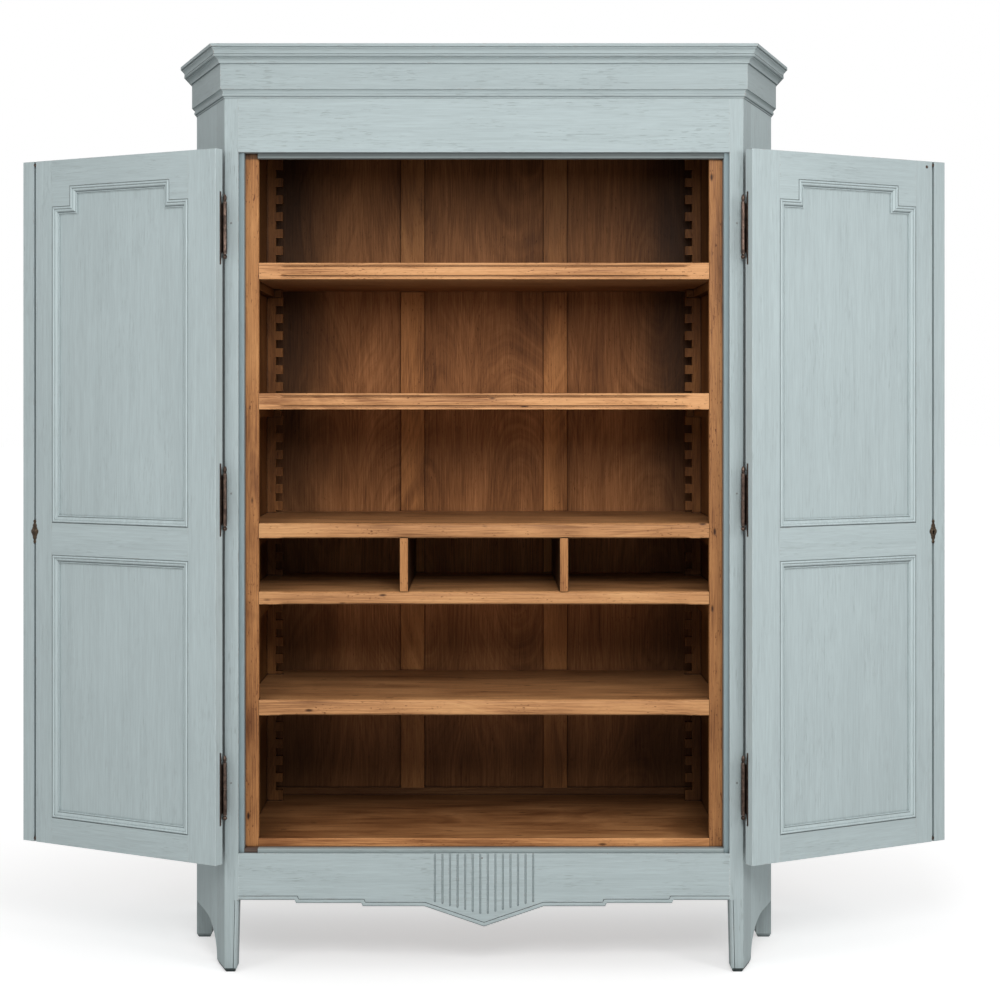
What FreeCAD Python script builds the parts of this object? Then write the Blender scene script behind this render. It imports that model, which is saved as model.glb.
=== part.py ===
"""Painted bonnetiere cabinet with canted front corners, two open panelled doors and a fitted wooden interior.

Millimetres. While it is drawn, x runs to the right, y runs back from the front face and z runs up from the
floor. Every solid is then moved so that the origin lies on the floor under the middle of the whole cabinet.
"""
import FreeCAD
import Part

import math
import os

V = FreeCAD.Vector
UP = V(0, 0, 1)
BACKWARD = V(0, 1, 0)
FORWARD = V(0, -1, 0)
RIGHTWARD = V(1, 0, 0)
ORIGIN = V(0, 0, 0)
TOUCH = 0.001

# How far a cutter runs on past what it cuts
cut_spare = 1.0

# Whole cabinet
cabinet_height = 2195.0
cabinet_depth = 650.0
front_half_width = 615.0
cant_width = 110.0
cant_depth = 341.0
top_board_thickness = 15.0

# Face frame
front_stile_width = 33.0
front_post_depth = 47.0
front_post_cant_width = 92.0
frame_thickness = 30.0
header_rail_height = 237.5
edge_ease = 1.5

# Legs and square posts
foot_chamfer_run = 4.5
foot_chamfer_rise = 9.0
leg_taper = 4.0
leg_bead_width = 8.0
leg_bead_depth = 2.0
square_post = 38.0

# Apron and its carved middle
apron_top = 281.0
apron_end_bottom = 170.0
apron_step_drop = 7.4
apron_step_run = 3.0
apron_first_step_x = 449.0
apron_second_step_x = 291.0
apron_slope_start_x = 142.0
apron_point_bottom = 107.0
apron_bead_width = 10.0
apron_quirk = 2.4
apron_bead_round = 4.0
flute_count = 14
flute_pitch = 17.9
flute_radius = 2.6
flute_depth = 2.4
flute_middle_bottom = 138.0
flute_outer_bottom = 168.251

# Canted panels with their bracket-shaped lower edge
canted_panel_thickness = 22.0
bracket_height = 92.0
bracket_foot = 10.0
bracket_run = 145.0

# Side frames
side_board_thickness = 22.0
side_rail_bottom = 92.0
side_rail_height = 138.0
side_middle_rail_bottom = 1053.0
side_middle_rail_height = 77.0
side_top_rail_height = 230.0
side_panel_thickness = 10.0
side_panel_recess = 6.0

# Cornice, as distances out from the carcass and heights
cornice_reach = 40.0
cornice_band_height = 7.0
cornice_quirk_reach = 36.0
cornice_quirk_height = 3.5
cornice_cove_foot = 31.0
cornice_cove_height = 12.5
cornice_bead_reach = 31.5
cornice_bead_height = 6.0
cornice_line_reach = 26.0
cornice_line_height = 2.0
cornice_cavetto_foot = 16.0
cornice_cavetto_height = 12.0
frieze_reach = 12.0
frieze_height = 61.0
frieze_hollow_top = 9.0
frieze_hollow_foot = 5.0
frieze_hollow_height = 9.0
frieze_bead_reach = 6.5
frieze_bead_height = 7.0
frieze_foot_reach = 2.0
frieze_foot_height = 4.0

# Door stops round the opening
stop_width = 13.0
stop_recess = 8.0
stop_depth = 22.0
stop_bottom_height = 10.0
stop_top_height = 13.5
stop_round = 3.0
sill_block_recess = 10.0

# Interior
inner_post_width = 45.0
inner_post_depth = 22.0
wall_inset = 16.0
lining_thickness = 14.0
floor_strip_gap = 0.5
floor_thickness = 20.0
bearer_height = 36.0
bearer_depth = 34.0
roof_space = 170.0
ceiling_thickness = 18.0

# Back frame and panels
back_thickness = 22.0
back_bottom = 270.0
muntin_centre = 189.0
muntin_width = 62.0
back_panel_recess = 9.0
back_panel_thickness = 9.0
back_tongue = 8.0
back_top_rail_height = 170.0
back_bottom_rail_height = 60.0
back_arris = 1.5

# Toothed racks and the cleats that lie in their notches
rack_thickness = 22.0
front_rack_width = 25.0
front_notch_depth = 11.0
rear_rack_width = 41.0
rear_notch_depth = 18.0
rear_rack_gap = 70.0
rack_pitch = 44.3
notch_height = 22.0
first_notch_rise = 27.5
least_cleat_height = 18.0
cleat_tongue_height = 18.0
cleat_tongue_play = 2.0
cleat_wall_gap = 0.5
cleat_head_depth = 24.0
cleat_bar_width = 21.0

# Shelves from the lowest up: the clear height below each one and its thickness
clear_heights = {"shelf_5": 292.0, "shelf_4": 227.0, "shelf_3": 127.0, "shelf_2": 271.0, "shelf_1": 271.5}
shelf_thicknesses = {"shelf_5": 37.5, "shelf_4": 31.0, "shelf_3": 36.0, "shelf_2": 39.0, "shelf_1": 39.5}
moulded_shelves = ("shelf_1", "shelf_2")
shelf_side_gap = 0.5
shelf_rack_gap = 2.0
shelf_wall_gap = 1.0
shelf_end_block = 51.0
shelf_fillet = 5.2
shelf_quirk_height = 4.2
shelf_quirk_depth = 4.0
shelf_torus_side = 2.6
shelf_set_back = 0.2
shelf_plain_round = 8.0
divider_centre = 191.0
divider_thickness = 20.0
divider_recess = 2.0

# Doors, drawn closed and then swung open about their pins
door_thickness = 27.0
door_frame_gap = 0.5
door_apron_overlap = 20.0
door_header_overlap = 4.5
door_meeting_gap = 3.0
door_open_angle = 211.0
hinge_stile_width = 82.0
meeting_stile_width = 52.5
meeting_groove = 7.0
meeting_groove_depth = 6.0
edge_strip_width = 35.5
door_top_rail_height = 65.0
lock_rail_bottom = 974.0
lock_rail_height = 79.0
door_bottom_rail_height = 64.0
notch_across = 57.0
notch_down = 49.0
door_panel_thickness = 11.0
door_panel_tongue = 8.0
moulding_width = 21.0
moulding_quirk_width = 1.5
moulding_quirk_depth = 2.0
moulding_roll_end = 7.5
moulding_proud = 2.0
moulding_roll_step = 1.0
moulding_slope_middle = 13.45
moulding_slope_middle_low = 2.4
moulding_slope_end = 16.0
moulding_low = 4.8
moulding_bead_step = 1.0
moulding_bead_proud = 1.0
moulding_bead_end = 19.0
moulding_lip = 1.0

# Hinges
pin_inset = 4.0
pin_radius = 2.4
pin_play = 0.05
barrel_radius = 4.8
barrel_length = 121.0
knuckle_gap = 0.3
lowest_hinge_rise = 177.0
middle_hinge_rise = 20.5
highest_hinge_drop = 186.0
leaf_thickness = 1.6
door_edge_setback = 6.6
door_leaf_width = 10.0
door_leaf_offset = 1.0
door_leaf_height = 116.0
leaf_tip_height = 28.0
leaf_tip_width = 4.0
frame_wing_depth = 14.0
wing_end_clearance = 2.0
acorn_height = 20.0
acorn_belly_height = 11.0
acorn_shoulder_height = 17.0
acorn_radius = 4.6
finial_neck_radius = 2.8
finial_collar = 1.5
pin_flange = 1.0
ball_gap = 2.0
ball_radius = 5.4

# Round nail heads in the face frame: those of the stiles rise above the hinges' middles
nail_radius = 2.6
nail_length = 8.0
nail_proud = 0.4
stile_nail_inset = 15.5
stile_nail_rises = (10.0, 14.0, 14.0)
apron_nail_x = -4.5
apron_nail_drop = 11.0

# Lock, escutcheons, catches
lock_height = 1030.0
lock_case_width = 55.0
lock_case_height = 80.0
lock_case_thickness = 12.0
lock_wall = 1.5
lock_plate_thickness = 2.0
lock_plate_height = 110.0
lock_plate_width = 18.0
bolt_height = 20.0
bolt_thickness = 7.0
bolt_length = 38.0
bolt_play = 0.3
bolt_setback = 0.3
bolt_arris = 1.0
strike_depth = 15.0
strike_play = 0.9
key_hole_radius = 3.0
key_slot_width = 2.6
key_slot_length = 9.0
key_bore_radius = 6.5
escutcheon_height = 59.0
escutcheon_half_width = 10.0
escutcheon_waist = 5.2
escutcheon_shoulder_height = 11.13
escutcheon_notch_half_width = 6.2
escutcheon_notch_height = 8.904
escutcheon_tip_half_width = 2.6
escutcheon_tip_height = 19.08
escutcheon_thickness = 2.2
escutcheon_finial_radius = 3.0
escutcheon_boss_radius = 5.0
stud_radius = 4.0
stud_length = 6.0
stud_sink = 0.2
top_stud_drop = 9.0
bottom_stud_rise = 8.0
second_stud_drop = 14.0
second_stud_offset = 20.0

# Values worked out from the ones above
opening_half_width = front_half_width - front_stile_width
back_half_width = front_half_width + cant_width
wall_half_width = opening_half_width - wall_inset
back_stile_inner = wall_half_width
carcass_top = cabinet_height - top_board_thickness
header_bottom = carcass_top - header_rail_height
side_top_rail_bottom = carcass_top - side_top_rail_height
ceiling_bottom = carcass_top - roof_space
back_top_rail_bottom = carcass_top - back_top_rail_height
back_bottom_rail_top = back_bottom + back_bottom_rail_height
back_front = cabinet_depth - square_post
cant_along = V(cant_width, cant_depth, 0).normalize()
cant_inward = V(-cant_along.y, cant_along.x, 0)
stop_inner = opening_half_width - stop_width
stop_back = stop_recess + stop_depth
inner_post_inner = opening_half_width - inner_post_width
inner_post_back = stop_back + inner_post_depth
floor_bottom = apron_top + stop_bottom_height + floor_strip_gap
floor_top = floor_bottom + floor_thickness
first_notch_bottom = floor_top + first_notch_rise
shelf_front = stop_back
shelf_back = back_front
rear_rack_back = back_front - rear_rack_gap
rear_rack_front = rear_rack_back - rack_thickness
front_rack_inner = wall_half_width - front_rack_width
rear_rack_inner = wall_half_width - rear_rack_width
shelf_heights = {}
height_so_far = floor_top
for shelf_name, clear_height in clear_heights.items():
    height_so_far += clear_height + shelf_thicknesses[shelf_name]
    shelf_heights[shelf_name] = height_so_far
shelf_names = sorted(shelf_heights)
door_bottom = apron_top - door_apron_overlap
door_top = header_bottom + door_header_overlap
pin_half_spacing = front_half_width - pin_inset
lowest_hinge = door_bottom + lowest_hinge_rise
highest_hinge = door_top - highest_hinge_drop
hinge_heights = (lowest_hinge, (lowest_hinge + highest_hinge) / 2 + middle_hinge_rise, highest_hinge)
door_outer_y = -(door_frame_gap + door_thickness)
door_inner_y = -door_frame_gap
door_hinge_x = pin_half_spacing - door_edge_setback
door_free_x = door_meeting_gap / 2
door_panel_outer_x = door_hinge_x - hinge_stile_width
strip_outer_x = door_free_x + edge_strip_width
groove_x = strip_outer_x + meeting_groove / 2
door_panel_inner_x = strip_outer_x + meeting_groove + meeting_stile_width
lock_rail_top = lock_rail_bottom + lock_rail_height
upper_panel_top = door_top - door_top_rail_height
lower_panel_bottom = door_bottom + door_bottom_rail_height
door_middle_y = (door_outer_y + door_inner_y) / 2
door_panel_sink = (door_thickness - door_panel_thickness) / 2
half_barrel = barrel_length / 2
turn = math.radians(door_open_angle)
arris_centre_x = -(door_edge_setback + edge_ease)
arris_centre_y = door_thickness - edge_ease
front_reach = door_outer_y + arris_centre_x * math.sin(turn) + arris_centre_y * math.cos(turn) - edge_ease
middle_y = (front_reach + cabinet_depth) / 2


# Small tools

def box(x_from, x_to, y_from, y_to, z_from, z_to):
    """A box between two corners."""
    return Part.makeBox(x_to - x_from, y_to - y_from, z_to - z_from, V(x_from, y_from, z_from))


def prism(points, direction):
    """A flat polygon pushed along a direction."""
    return Part.Face(Part.makePolygon(list(points) + [points[0]])).extrude(direction)


def mirrored(shape):
    """The same piece on the other side of the cabinet."""
    return shape.mirror(ORIGIN, RIGHTWARD)


def both_sides(shape):
    """A piece of the right side and its twin on the left."""
    return [mirrored(shape), shape]


def join(shapes):
    """One solid out of pieces that meet or cross."""
    return shapes[0].fuse(shapes[1:]).removeSplitter()


def eased(shape, radius, *lines):
    """Rounds the straight edges whose ends share the coordinates of one of the lines."""
    chosen = []
    for edge in shape.Edges:
        for line in lines:
            ends = [vertex.Point for vertex in edge.Vertexes]
            offsets = [abs(getattr(end, axis) - value) for end in ends for axis, value in line.items()]
            if max(offsets) < TOUCH:
                chosen.append(edge)
    return shape.makeFillet(radius, chosen)


def section_face(start, side, rise, steps):
    """A flat face whose outline is given as distances along side and rise.

    A step of two numbers is a straight line to that point, and a step of four is an arc through one point to
    another.
    """
    def spot(across, height):
        return start + side * across + rise * height

    here = spot(*steps[0])
    edges = []
    for step in steps[1:] + steps[:1]:
        there = spot(*step[-2:])
        if len(step) == 4:
            edges.append(Part.Arc(here, spot(*step[:2]), there).toShape())
        else:
            edges.append(Part.LineSegment(here, there).toShape())
        here = there
    return Part.Face(Part.Wire(edges))


def offset_path(points, rise, distance, closed):
    """The corners of a path moved sideways by a distance, so that its runs stay parallel."""
    count = len(points)
    moved = []
    for index, point in enumerate(points):
        before = points[index - 1] if closed or index > 0 else None
        after = points[(index + 1) % count] if closed or index < count - 1 else None
        sides = []
        if before is not None:
            sides.append((point - before).normalize().cross(rise))
        if after is not None:
            sides.append((after - point).normalize().cross(rise))
        mean = (sides[0] + sides[-1]).normalize()
        moved.append(point + mean * (distance / mean.dot(sides[0])))
    return moved


def mitred_runs(points, rise, steps, reach, low, high, closed):
    """A moulding along a path, as one solid for each straight run, cut at its mitres."""
    far = offset_path(points, rise, reach, closed)
    count = len(points)
    solids = []
    for index in range(count if closed else count - 1):
        start, end = points[index], points[(index + 1) % count]
        far_start, far_end = far[index], far[(index + 1) % count]
        along = (end - start).normalize()
        length = (end - start).Length
        spare = 2 * reach
        bar_start = start - along * spare
        bar = section_face(bar_start, along.cross(rise), rise, steps).extrude(along * (length + 2 * spare))
        corners = [start, end, far_end, far_start]
        sector = prism([corner + rise * low for corner in corners], rise * (high - low))
        solids.append(bar.common(sector).Solids[0])
    return solids


def foot_cutters(corners):
    """Wedges that chamfer a foot on each side of its outline, the outline running anticlockwise."""
    wedges = []
    for index, corner in enumerate(corners):
        following = corners[(index + 1) % len(corners)]
        along = (following - corner).normalize()
        inward = UP.cross(along)
        start = corner - along * foot_chamfer_run
        profile = [start - inward * foot_chamfer_run - UP * foot_chamfer_rise,
                   start + inward * 2 * foot_chamfer_run - UP * foot_chamfer_rise,
                   start - inward * foot_chamfer_run + UP * 2 * foot_chamfer_rise]
        wedges.append(prism(profile, along * ((following - corner).Length + 2 * foot_chamfer_run)))
    return wedges


# Carcass posts, legs and panels

def front_post():
    """The front corner post with its leg: a narrow front face and a wider canted face."""
    inner = V(opening_half_width, 0, 0)
    corner = V(front_half_width, 0, 0)
    rear = corner + cant_along * front_post_cant_width
    rear_inner = rear + cant_inward * canted_panel_thickness
    bend = V(opening_half_width, front_post_depth, 0)
    waist_x = rear_inner.x - (rear_inner.y - front_post_depth) * cant_along.x / cant_along.y
    waist = V(waist_x, front_post_depth, 0)
    outline = [inner, corner, rear, rear_inner, waist, bend]
    post = prism(outline, UP * carcass_top)
    post = eased(post, edge_ease, {"x": corner.x, "y": corner.y})
    taper_side = V(opening_half_width, -TOUCH, 0)
    taper = prism([taper_side, taper_side + RIGHTWARD * leg_taper, taper_side + UP * apron_end_bottom],
                  BACKWARD * (front_post_depth + cut_spare))
    foot_outline = [inner + RIGHTWARD * leg_taper, corner, rear, rear_inner, waist,
                    bend + RIGHTWARD * leg_taper]
    cutters = [taper, leg_bead_cutter()] + foot_cutters(foot_outline)
    return post.cut(cutters)


def leg_bead_cutter():
    """A chamfer and a thin quirk that carry the apron's bead down the leg's inner edge."""
    top = V(opening_half_width, 0, apron_end_bottom)
    foot = V(opening_half_width + leg_taper, 0, -leg_taper)
    along = foot - top
    ahead = FORWARD * cut_spare
    aside = top - RIGHTWARD * cut_spare
    slope = leg_bead_depth * 2
    quirk_top = top + RIGHTWARD * leg_bead_width
    quirk = prism([quirk_top + ahead, quirk_top + BACKWARD * leg_bead_depth,
                   quirk_top + RIGHTWARD * apron_quirk + ahead], along)
    chamfer = prism([aside + ahead, top + RIGHTWARD * slope + ahead, top + RIGHTWARD * slope,
                     top + BACKWARD * slope, aside + BACKWARD * slope], along)
    return join([quirk, chamfer])


def canted_panel():
    """The canted side panel, whose lower edge sweeps up from the front leg like a bracket."""
    start = V(front_half_width, 0, 0) + cant_along * front_post_cant_width
    end = V(back_half_width, cant_depth, 0)
    low = start + UP * bracket_foot
    centre = low + cant_along * bracket_run
    crown = centre + UP * (bracket_height - bracket_foot)
    corners = [crown, end + UP * bracket_height, end + UP * carcass_top, start + UP * carcass_top, low]
    edges = [Part.LineSegment(here, there).toShape() for here, there in zip(corners, corners[1:])]
    edges.append(Part.ArcOfEllipse(Part.Ellipse(low, crown, centre), 0, math.pi / 2).toShape())
    outline = Part.Wire(Part.__sortEdges__(edges))
    board = Part.Face(outline).extrude(cant_inward * canted_panel_thickness)
    behind = box(0, back_half_width + cut_spare, cant_depth, cant_depth + canted_panel_thickness,
                 -cut_spare, cabinet_height)
    return board.cut(behind)


def square_leg_post(front_y):
    """A square post that runs down to the floor as a leg with a chamfered foot."""
    outer = back_half_width
    inner = outer - square_post
    post = box(inner, outer, front_y, front_y + square_post, 0, carcass_top)
    outline = [V(inner, front_y, 0), V(outer, front_y, 0), V(outer, front_y + square_post, 0),
               V(inner, front_y + square_post, 0)]
    return post.cut(foot_cutters(outline))


def side_rails():
    """Bottom, middle and top rails between the middle and rear posts."""
    y_from = cant_depth + square_post
    y_to = cabinet_depth - square_post
    spans = [(side_rail_bottom, side_rail_bottom + side_rail_height),
             (side_middle_rail_bottom, side_middle_rail_bottom + side_middle_rail_height),
             (side_top_rail_bottom, carcass_top)]
    x_from = back_half_width - side_board_thickness
    return [box(x_from, back_half_width, y_from, y_to, low, high) for low, high in spans]


def side_panels():
    """The two sunk panels of one side."""
    y_from = cant_depth + square_post
    y_to = cabinet_depth - square_post
    x_to = back_half_width - side_panel_recess
    spans = [(side_rail_bottom + side_rail_height, side_middle_rail_bottom),
             (side_middle_rail_bottom + side_middle_rail_height, side_top_rail_bottom)]
    return [box(x_to - side_panel_thickness, x_to, y_from, y_to, low, high) for low, high in spans]


def header_rail():
    """The wide rail over the doors."""
    rail = box(-opening_half_width, opening_half_width, 0, frame_thickness, header_bottom, carcass_top)
    return eased(rail, edge_ease, {"y": 0, "z": header_bottom})


def top_board():
    """The dust board that closes the top."""
    return prism([point + UP * carcass_top for point in plan_path()], UP * top_board_thickness)


def plan_path():
    """The carcass faces in plan, from the left rear corner round the front to the right rear corner."""
    right = [V(front_half_width, 0, 0), V(back_half_width, cant_depth, 0),
             V(back_half_width, cabinet_depth, 0)]
    left = [V(-point.x, point.y, 0) for point in reversed(right)]
    return left + right


# Apron

def apron_edge():
    """The apron's lower edge from the left leg to the right leg."""
    lower = apron_end_bottom - apron_step_drop
    lowest = lower - apron_step_drop
    right = [(0, apron_point_bottom), (apron_slope_start_x, lowest),
             (apron_second_step_x - apron_step_run, lowest), (apron_second_step_x, lower),
             (apron_first_step_x - apron_step_run, lower), (apron_first_step_x, apron_end_bottom),
             (opening_half_width, apron_end_bottom)]
    left = [(-x, z) for x, z in reversed(right[1:])]
    return [V(x, 0, z) for x, z in left + right]


def flute(number):
    """One flute of the carved middle, with a round lower end."""
    outer_x = (flute_count - 1) / 2 * flute_pitch
    x = number * flute_pitch - outer_x
    bottom = flute_middle_bottom + (flute_outer_bottom - flute_middle_bottom) * abs(x) / outer_x
    axis_y = flute_depth - flute_radius
    groove = Part.makeCylinder(flute_radius, apron_top + cut_spare - bottom, V(x, axis_y, bottom), UP)
    return join([groove, Part.makeSphere(flute_radius, V(x, axis_y, bottom))])


def apron():
    """The shaped apron with a bead along its edge and a fluted point in its middle."""
    edge = apron_edge()
    outline = edge + [V(opening_half_width, 0, apron_top), V(-opening_half_width, 0, apron_top)]
    board = prism(outline, BACKWARD * frame_thickness)
    inset = offset_path(edge, BACKWARD, apron_bead_width, False)
    beyond = RIGHTWARD * cut_spare
    inset = [inset[0] - beyond] + inset[1:-1] + [inset[-1] + beyond]
    quirk_steps = [(-apron_quirk / 2, cut_spare), (apron_quirk / 2, cut_spare), (0, -apron_quirk)]
    near = apron_bead_round * (1 - math.cos(math.pi / 4))
    arris_steps = [(-cut_spare, cut_spare), (apron_bead_round, cut_spare), (apron_bead_round, 0),
                   (near, -near, 0, -apron_bead_round), (-cut_spare, -apron_bead_round)]
    cutters = [flute(number) for number in range(flute_count)]
    for path, steps in ((inset, quirk_steps), (edge, arris_steps)):
        for start, end in zip(path, path[1:]):
            along = end - start
            side = FORWARD.cross(along).normalize()
            cutters.append(section_face(start, side, FORWARD, steps).extrude(along))
    return board.cut(cutters)


# Cornice

def hollow(foot, head):
    """An arc step from a foot to a head that curves in towards the carcass."""
    middle_x = foot[0] + (head[0] - foot[0]) * (1 - math.cos(math.pi / 4))
    middle_z = foot[1] + (head[1] - foot[1]) * math.sin(math.pi / 4)
    return (middle_x, middle_z) + head


def cornice_runs():
    """The mitred cornice: crown band, cove, bead and cavetto over a plain frieze with a foot moulding."""
    top = cabinet_height
    band_bottom = top - cornice_band_height
    cove_top = band_bottom - cornice_quirk_height
    cove_bottom = cove_top - cornice_cove_height
    bead_bottom = cove_bottom - cornice_bead_height
    line_bottom = bead_bottom - cornice_line_height
    frieze_top = line_bottom - cornice_cavetto_height
    frieze_bottom = frieze_top - frieze_height
    hollow_bottom = frieze_bottom - frieze_hollow_height
    foot_top = hollow_bottom - frieze_bead_height
    bottom = foot_top - frieze_foot_height
    steps = [(0, bottom), (frieze_foot_reach, bottom), (frieze_foot_reach, foot_top),
             (frieze_hollow_foot, foot_top),
             (frieze_bead_reach, (foot_top + hollow_bottom) / 2, frieze_hollow_foot, hollow_bottom),
             hollow((frieze_hollow_foot, hollow_bottom), (frieze_hollow_top, frieze_bottom)),
             (frieze_reach, frieze_bottom), (frieze_reach, frieze_top), (cornice_cavetto_foot, frieze_top),
             hollow((cornice_cavetto_foot, frieze_top), (cornice_line_reach, line_bottom)),
             (cornice_line_reach, bead_bottom), (cornice_bead_reach - cornice_bead_height / 2, bead_bottom),
             (cornice_bead_reach, (bead_bottom + cove_bottom) / 2,
              cornice_bead_reach - cornice_bead_height / 2, cove_bottom),
             (cornice_cove_foot, cove_bottom),
             hollow((cornice_cove_foot, cove_bottom), (cornice_quirk_reach, cove_top)),
             (cornice_quirk_reach, band_bottom), (cornice_reach, band_bottom), (cornice_reach, top), (0, top)]
    reach = 2 * cornice_reach
    return mitred_runs(plan_path(), UP, steps, reach, bottom - cut_spare, top + cut_spare, False)


# Door stops and sill block

def stop_uprights():
    """The painted strips that the doors close over, on each side of the opening."""
    strip = box(stop_inner, opening_half_width, stop_recess, stop_back, apron_top, header_bottom)
    return both_sides(eased(strip, stop_round, {"x": stop_inner, "y": stop_recess}))


def stop_cross_strips():
    """The strips over and under the opening, which stop short at the left inner post."""
    left = -inner_post_inner
    low_top = apron_top + stop_bottom_height
    high_bottom = header_bottom - stop_top_height
    low = box(left, stop_inner, stop_recess, stop_back, apron_top, low_top)
    high = box(left, stop_inner, stop_recess, stop_back, high_bottom, header_bottom)
    return [eased(low, stop_round, {"y": stop_recess, "z": low_top}),
            eased(high, stop_round, {"y": stop_recess, "z": high_bottom})]


def sill_block():
    """The bare block let into the left end of the lower strip."""
    return box(-stop_inner, -inner_post_inner, sill_block_recess, stop_back,
               apron_top, apron_top + stop_bottom_height)


# Interior

def inner_post():
    """The wooden post behind the face frame, flush with the shelf fronts."""
    post = box(inner_post_inner, opening_half_width, stop_back, inner_post_back, floor_bottom, ceiling_bottom)
    return eased(post, edge_ease, {"x": inner_post_inner, "y": stop_back})


def side_lining():
    """The inner side wall."""
    return box(wall_half_width, wall_half_width + lining_thickness, inner_post_back, back_front, floor_bottom,
               ceiling_bottom)


def floor_board():
    """The bottom board, notched round the inner posts."""
    front = inner_post_inner
    right = [V(front, shelf_front, 0), V(front, inner_post_back, 0), V(wall_half_width, inner_post_back, 0),
             V(wall_half_width, back_front, 0)]
    left = [V(-point.x, point.y, 0) for point in reversed(right)]
    board = prism([point + UP * floor_bottom for point in right + left], UP * floor_thickness)
    return eased(board, edge_ease, {"y": shelf_front, "z": floor_top})


def floor_bearers():
    """The two cross bearers under the bottom board."""
    low = floor_bottom - bearer_height
    lining_outer = wall_half_width + lining_thickness
    return [box(-opening_half_width, opening_half_width, frame_thickness, frame_thickness + bearer_depth,
                low, floor_bottom),
            box(-lining_outer, lining_outer, back_front - bearer_depth, back_front, low, floor_bottom)]


def ceiling_board():
    """The board that closes the interior above."""
    return box(-opening_half_width, opening_half_width, frame_thickness, back_front, ceiling_bottom,
               ceiling_bottom + ceiling_thickness)


def back_panel_boxes():
    """The three upright panels of the back."""
    y_from = back_front + back_panel_recess
    low = back_bottom_rail_top - back_tongue
    high = back_top_rail_bottom + back_tongue
    half_muntin = muntin_width / 2
    inner_edge = muntin_centre - half_muntin
    outer_edge = muntin_centre + half_muntin
    spans = [(-back_stile_inner, -outer_edge), (-inner_edge, inner_edge), (outer_edge, back_stile_inner)]
    return [box(x_from - back_tongue, x_to + back_tongue, y_from, y_from + back_panel_thickness, low, high)
            for x_from, x_to in spans]


def back_stiles():
    """The two wide outer stiles and the two muntins of the back frame."""
    low, high = back_bottom, carcass_top
    half_muntin = muntin_width / 2
    y_to = back_front + back_thickness
    outer = box(back_stile_inner, back_half_width - square_post, back_front, y_to, low, high)
    muntin = box(muntin_centre - half_muntin, muntin_centre + half_muntin, back_front, y_to,
                 back_bottom_rail_top, back_top_rail_bottom)
    outer = eased(outer, back_arris, {"x": back_stile_inner, "y": back_front})
    muntin = eased(muntin, back_arris, {"x": muntin_centre - half_muntin, "y": back_front},
                   {"x": muntin_centre + half_muntin, "y": back_front})
    panels = back_panel_boxes()
    return [piece.cut(panels) for piece in both_sides(outer) + both_sides(muntin)]


def back_rails():
    """The top and bottom rails of the back frame."""
    y_to = back_front + back_thickness
    spans = [(back_bottom, back_bottom_rail_top), (back_top_rail_bottom, carcass_top)]
    panels = back_panel_boxes()
    return [box(-back_stile_inner, back_stile_inner, back_front, y_to, low, high).cut(panels)
            for low, high in spans]


def notch_bottoms():
    """The heights of the notches' lower faces, up to the ceiling."""
    count = int((ceiling_bottom - first_notch_bottom) // rack_pitch)
    return [first_notch_bottom + number * rack_pitch for number in range(count)]


def rack(inner_x, notch_depth, y_from):
    """An upright rack with square notches along its inner edge."""
    bar = box(inner_x, wall_half_width, y_from, y_from + rack_thickness, floor_top, ceiling_bottom)
    notches = [box(inner_x - cut_spare, inner_x + notch_depth, y_from - cut_spare,
                   y_from + rack_thickness + cut_spare, low, low + notch_height) for low in notch_bottoms()]
    return bar.cut(notches)


def front_rack():
    """The rack behind the inner post."""
    return rack(front_rack_inner, front_notch_depth, inner_post_back)


def rear_rack():
    """The rack in front of the back."""
    return rack(rear_rack_inner, rear_notch_depth, rear_rack_front)


def cleat(shelf):
    """The cleat under one end of a shelf, with a tongue in a notch of each rack."""
    top = shelf_heights[shelf] - shelf_thicknesses[shelf]
    low = max(bottom for bottom in notch_bottoms() if bottom <= top - least_cleat_height)
    tongue_top = low + cleat_tongue_height
    outer_x = wall_half_width - cleat_wall_gap
    front_rack_back = inner_post_back + rack_thickness
    head_inner_x = rear_rack_inner + cleat_tongue_play
    bar_inner_x = wall_half_width - cleat_bar_width
    bar = box(bar_inner_x, outer_x, front_rack_back, rear_rack_front, low, top)
    head = box(head_inner_x, outer_x, rear_rack_front - cleat_head_depth, rear_rack_front, low, tongue_top)
    front_tongue = box(bar_inner_x, front_rack_inner + front_notch_depth, inner_post_back, front_rack_back,
                       low, tongue_top)
    rear_tongue = box(head_inner_x, rear_rack_inner + rear_notch_depth, rear_rack_front, rear_rack_back,
                      low, tongue_top)
    return join([bar, head, front_tongue, rear_tongue])


def shelf_board(name):
    """A shelf notched round the racks, with a moulded front that stops short of its two plain ends."""
    top = shelf_heights[name]
    thickness = shelf_thicknesses[name]
    front_x = inner_post_inner - shelf_side_gap
    wall_x = wall_half_width - shelf_wall_gap
    rack_x = rear_rack_inner - shelf_rack_gap
    behind_front_rack = inner_post_back + rack_thickness + shelf_rack_gap
    right = [V(front_x, shelf_front, 0), V(front_x, behind_front_rack, 0), V(wall_x, behind_front_rack, 0),
             V(wall_x, rear_rack_front - shelf_rack_gap, 0), V(rack_x, rear_rack_front - shelf_rack_gap, 0),
             V(rack_x, rear_rack_back + shelf_rack_gap, 0), V(wall_x, rear_rack_back + shelf_rack_gap, 0),
             V(wall_x, shelf_back, 0)]
    left = [V(-point.x, point.y, 0) for point in reversed(right)]
    board = prism([point + UP * (top - thickness) for point in right + left], UP * thickness)
    length = 2 * (front_x - shelf_end_block)
    start = V(-length / 2, shelf_front, top - thickness)
    steps = moulded_front_steps(thickness) if name in moulded_shelves else rounded_front_steps(thickness)
    return board.cut(section_face(start, BACKWARD, UP, steps).extrude(RIGHTWARD * length))


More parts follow.
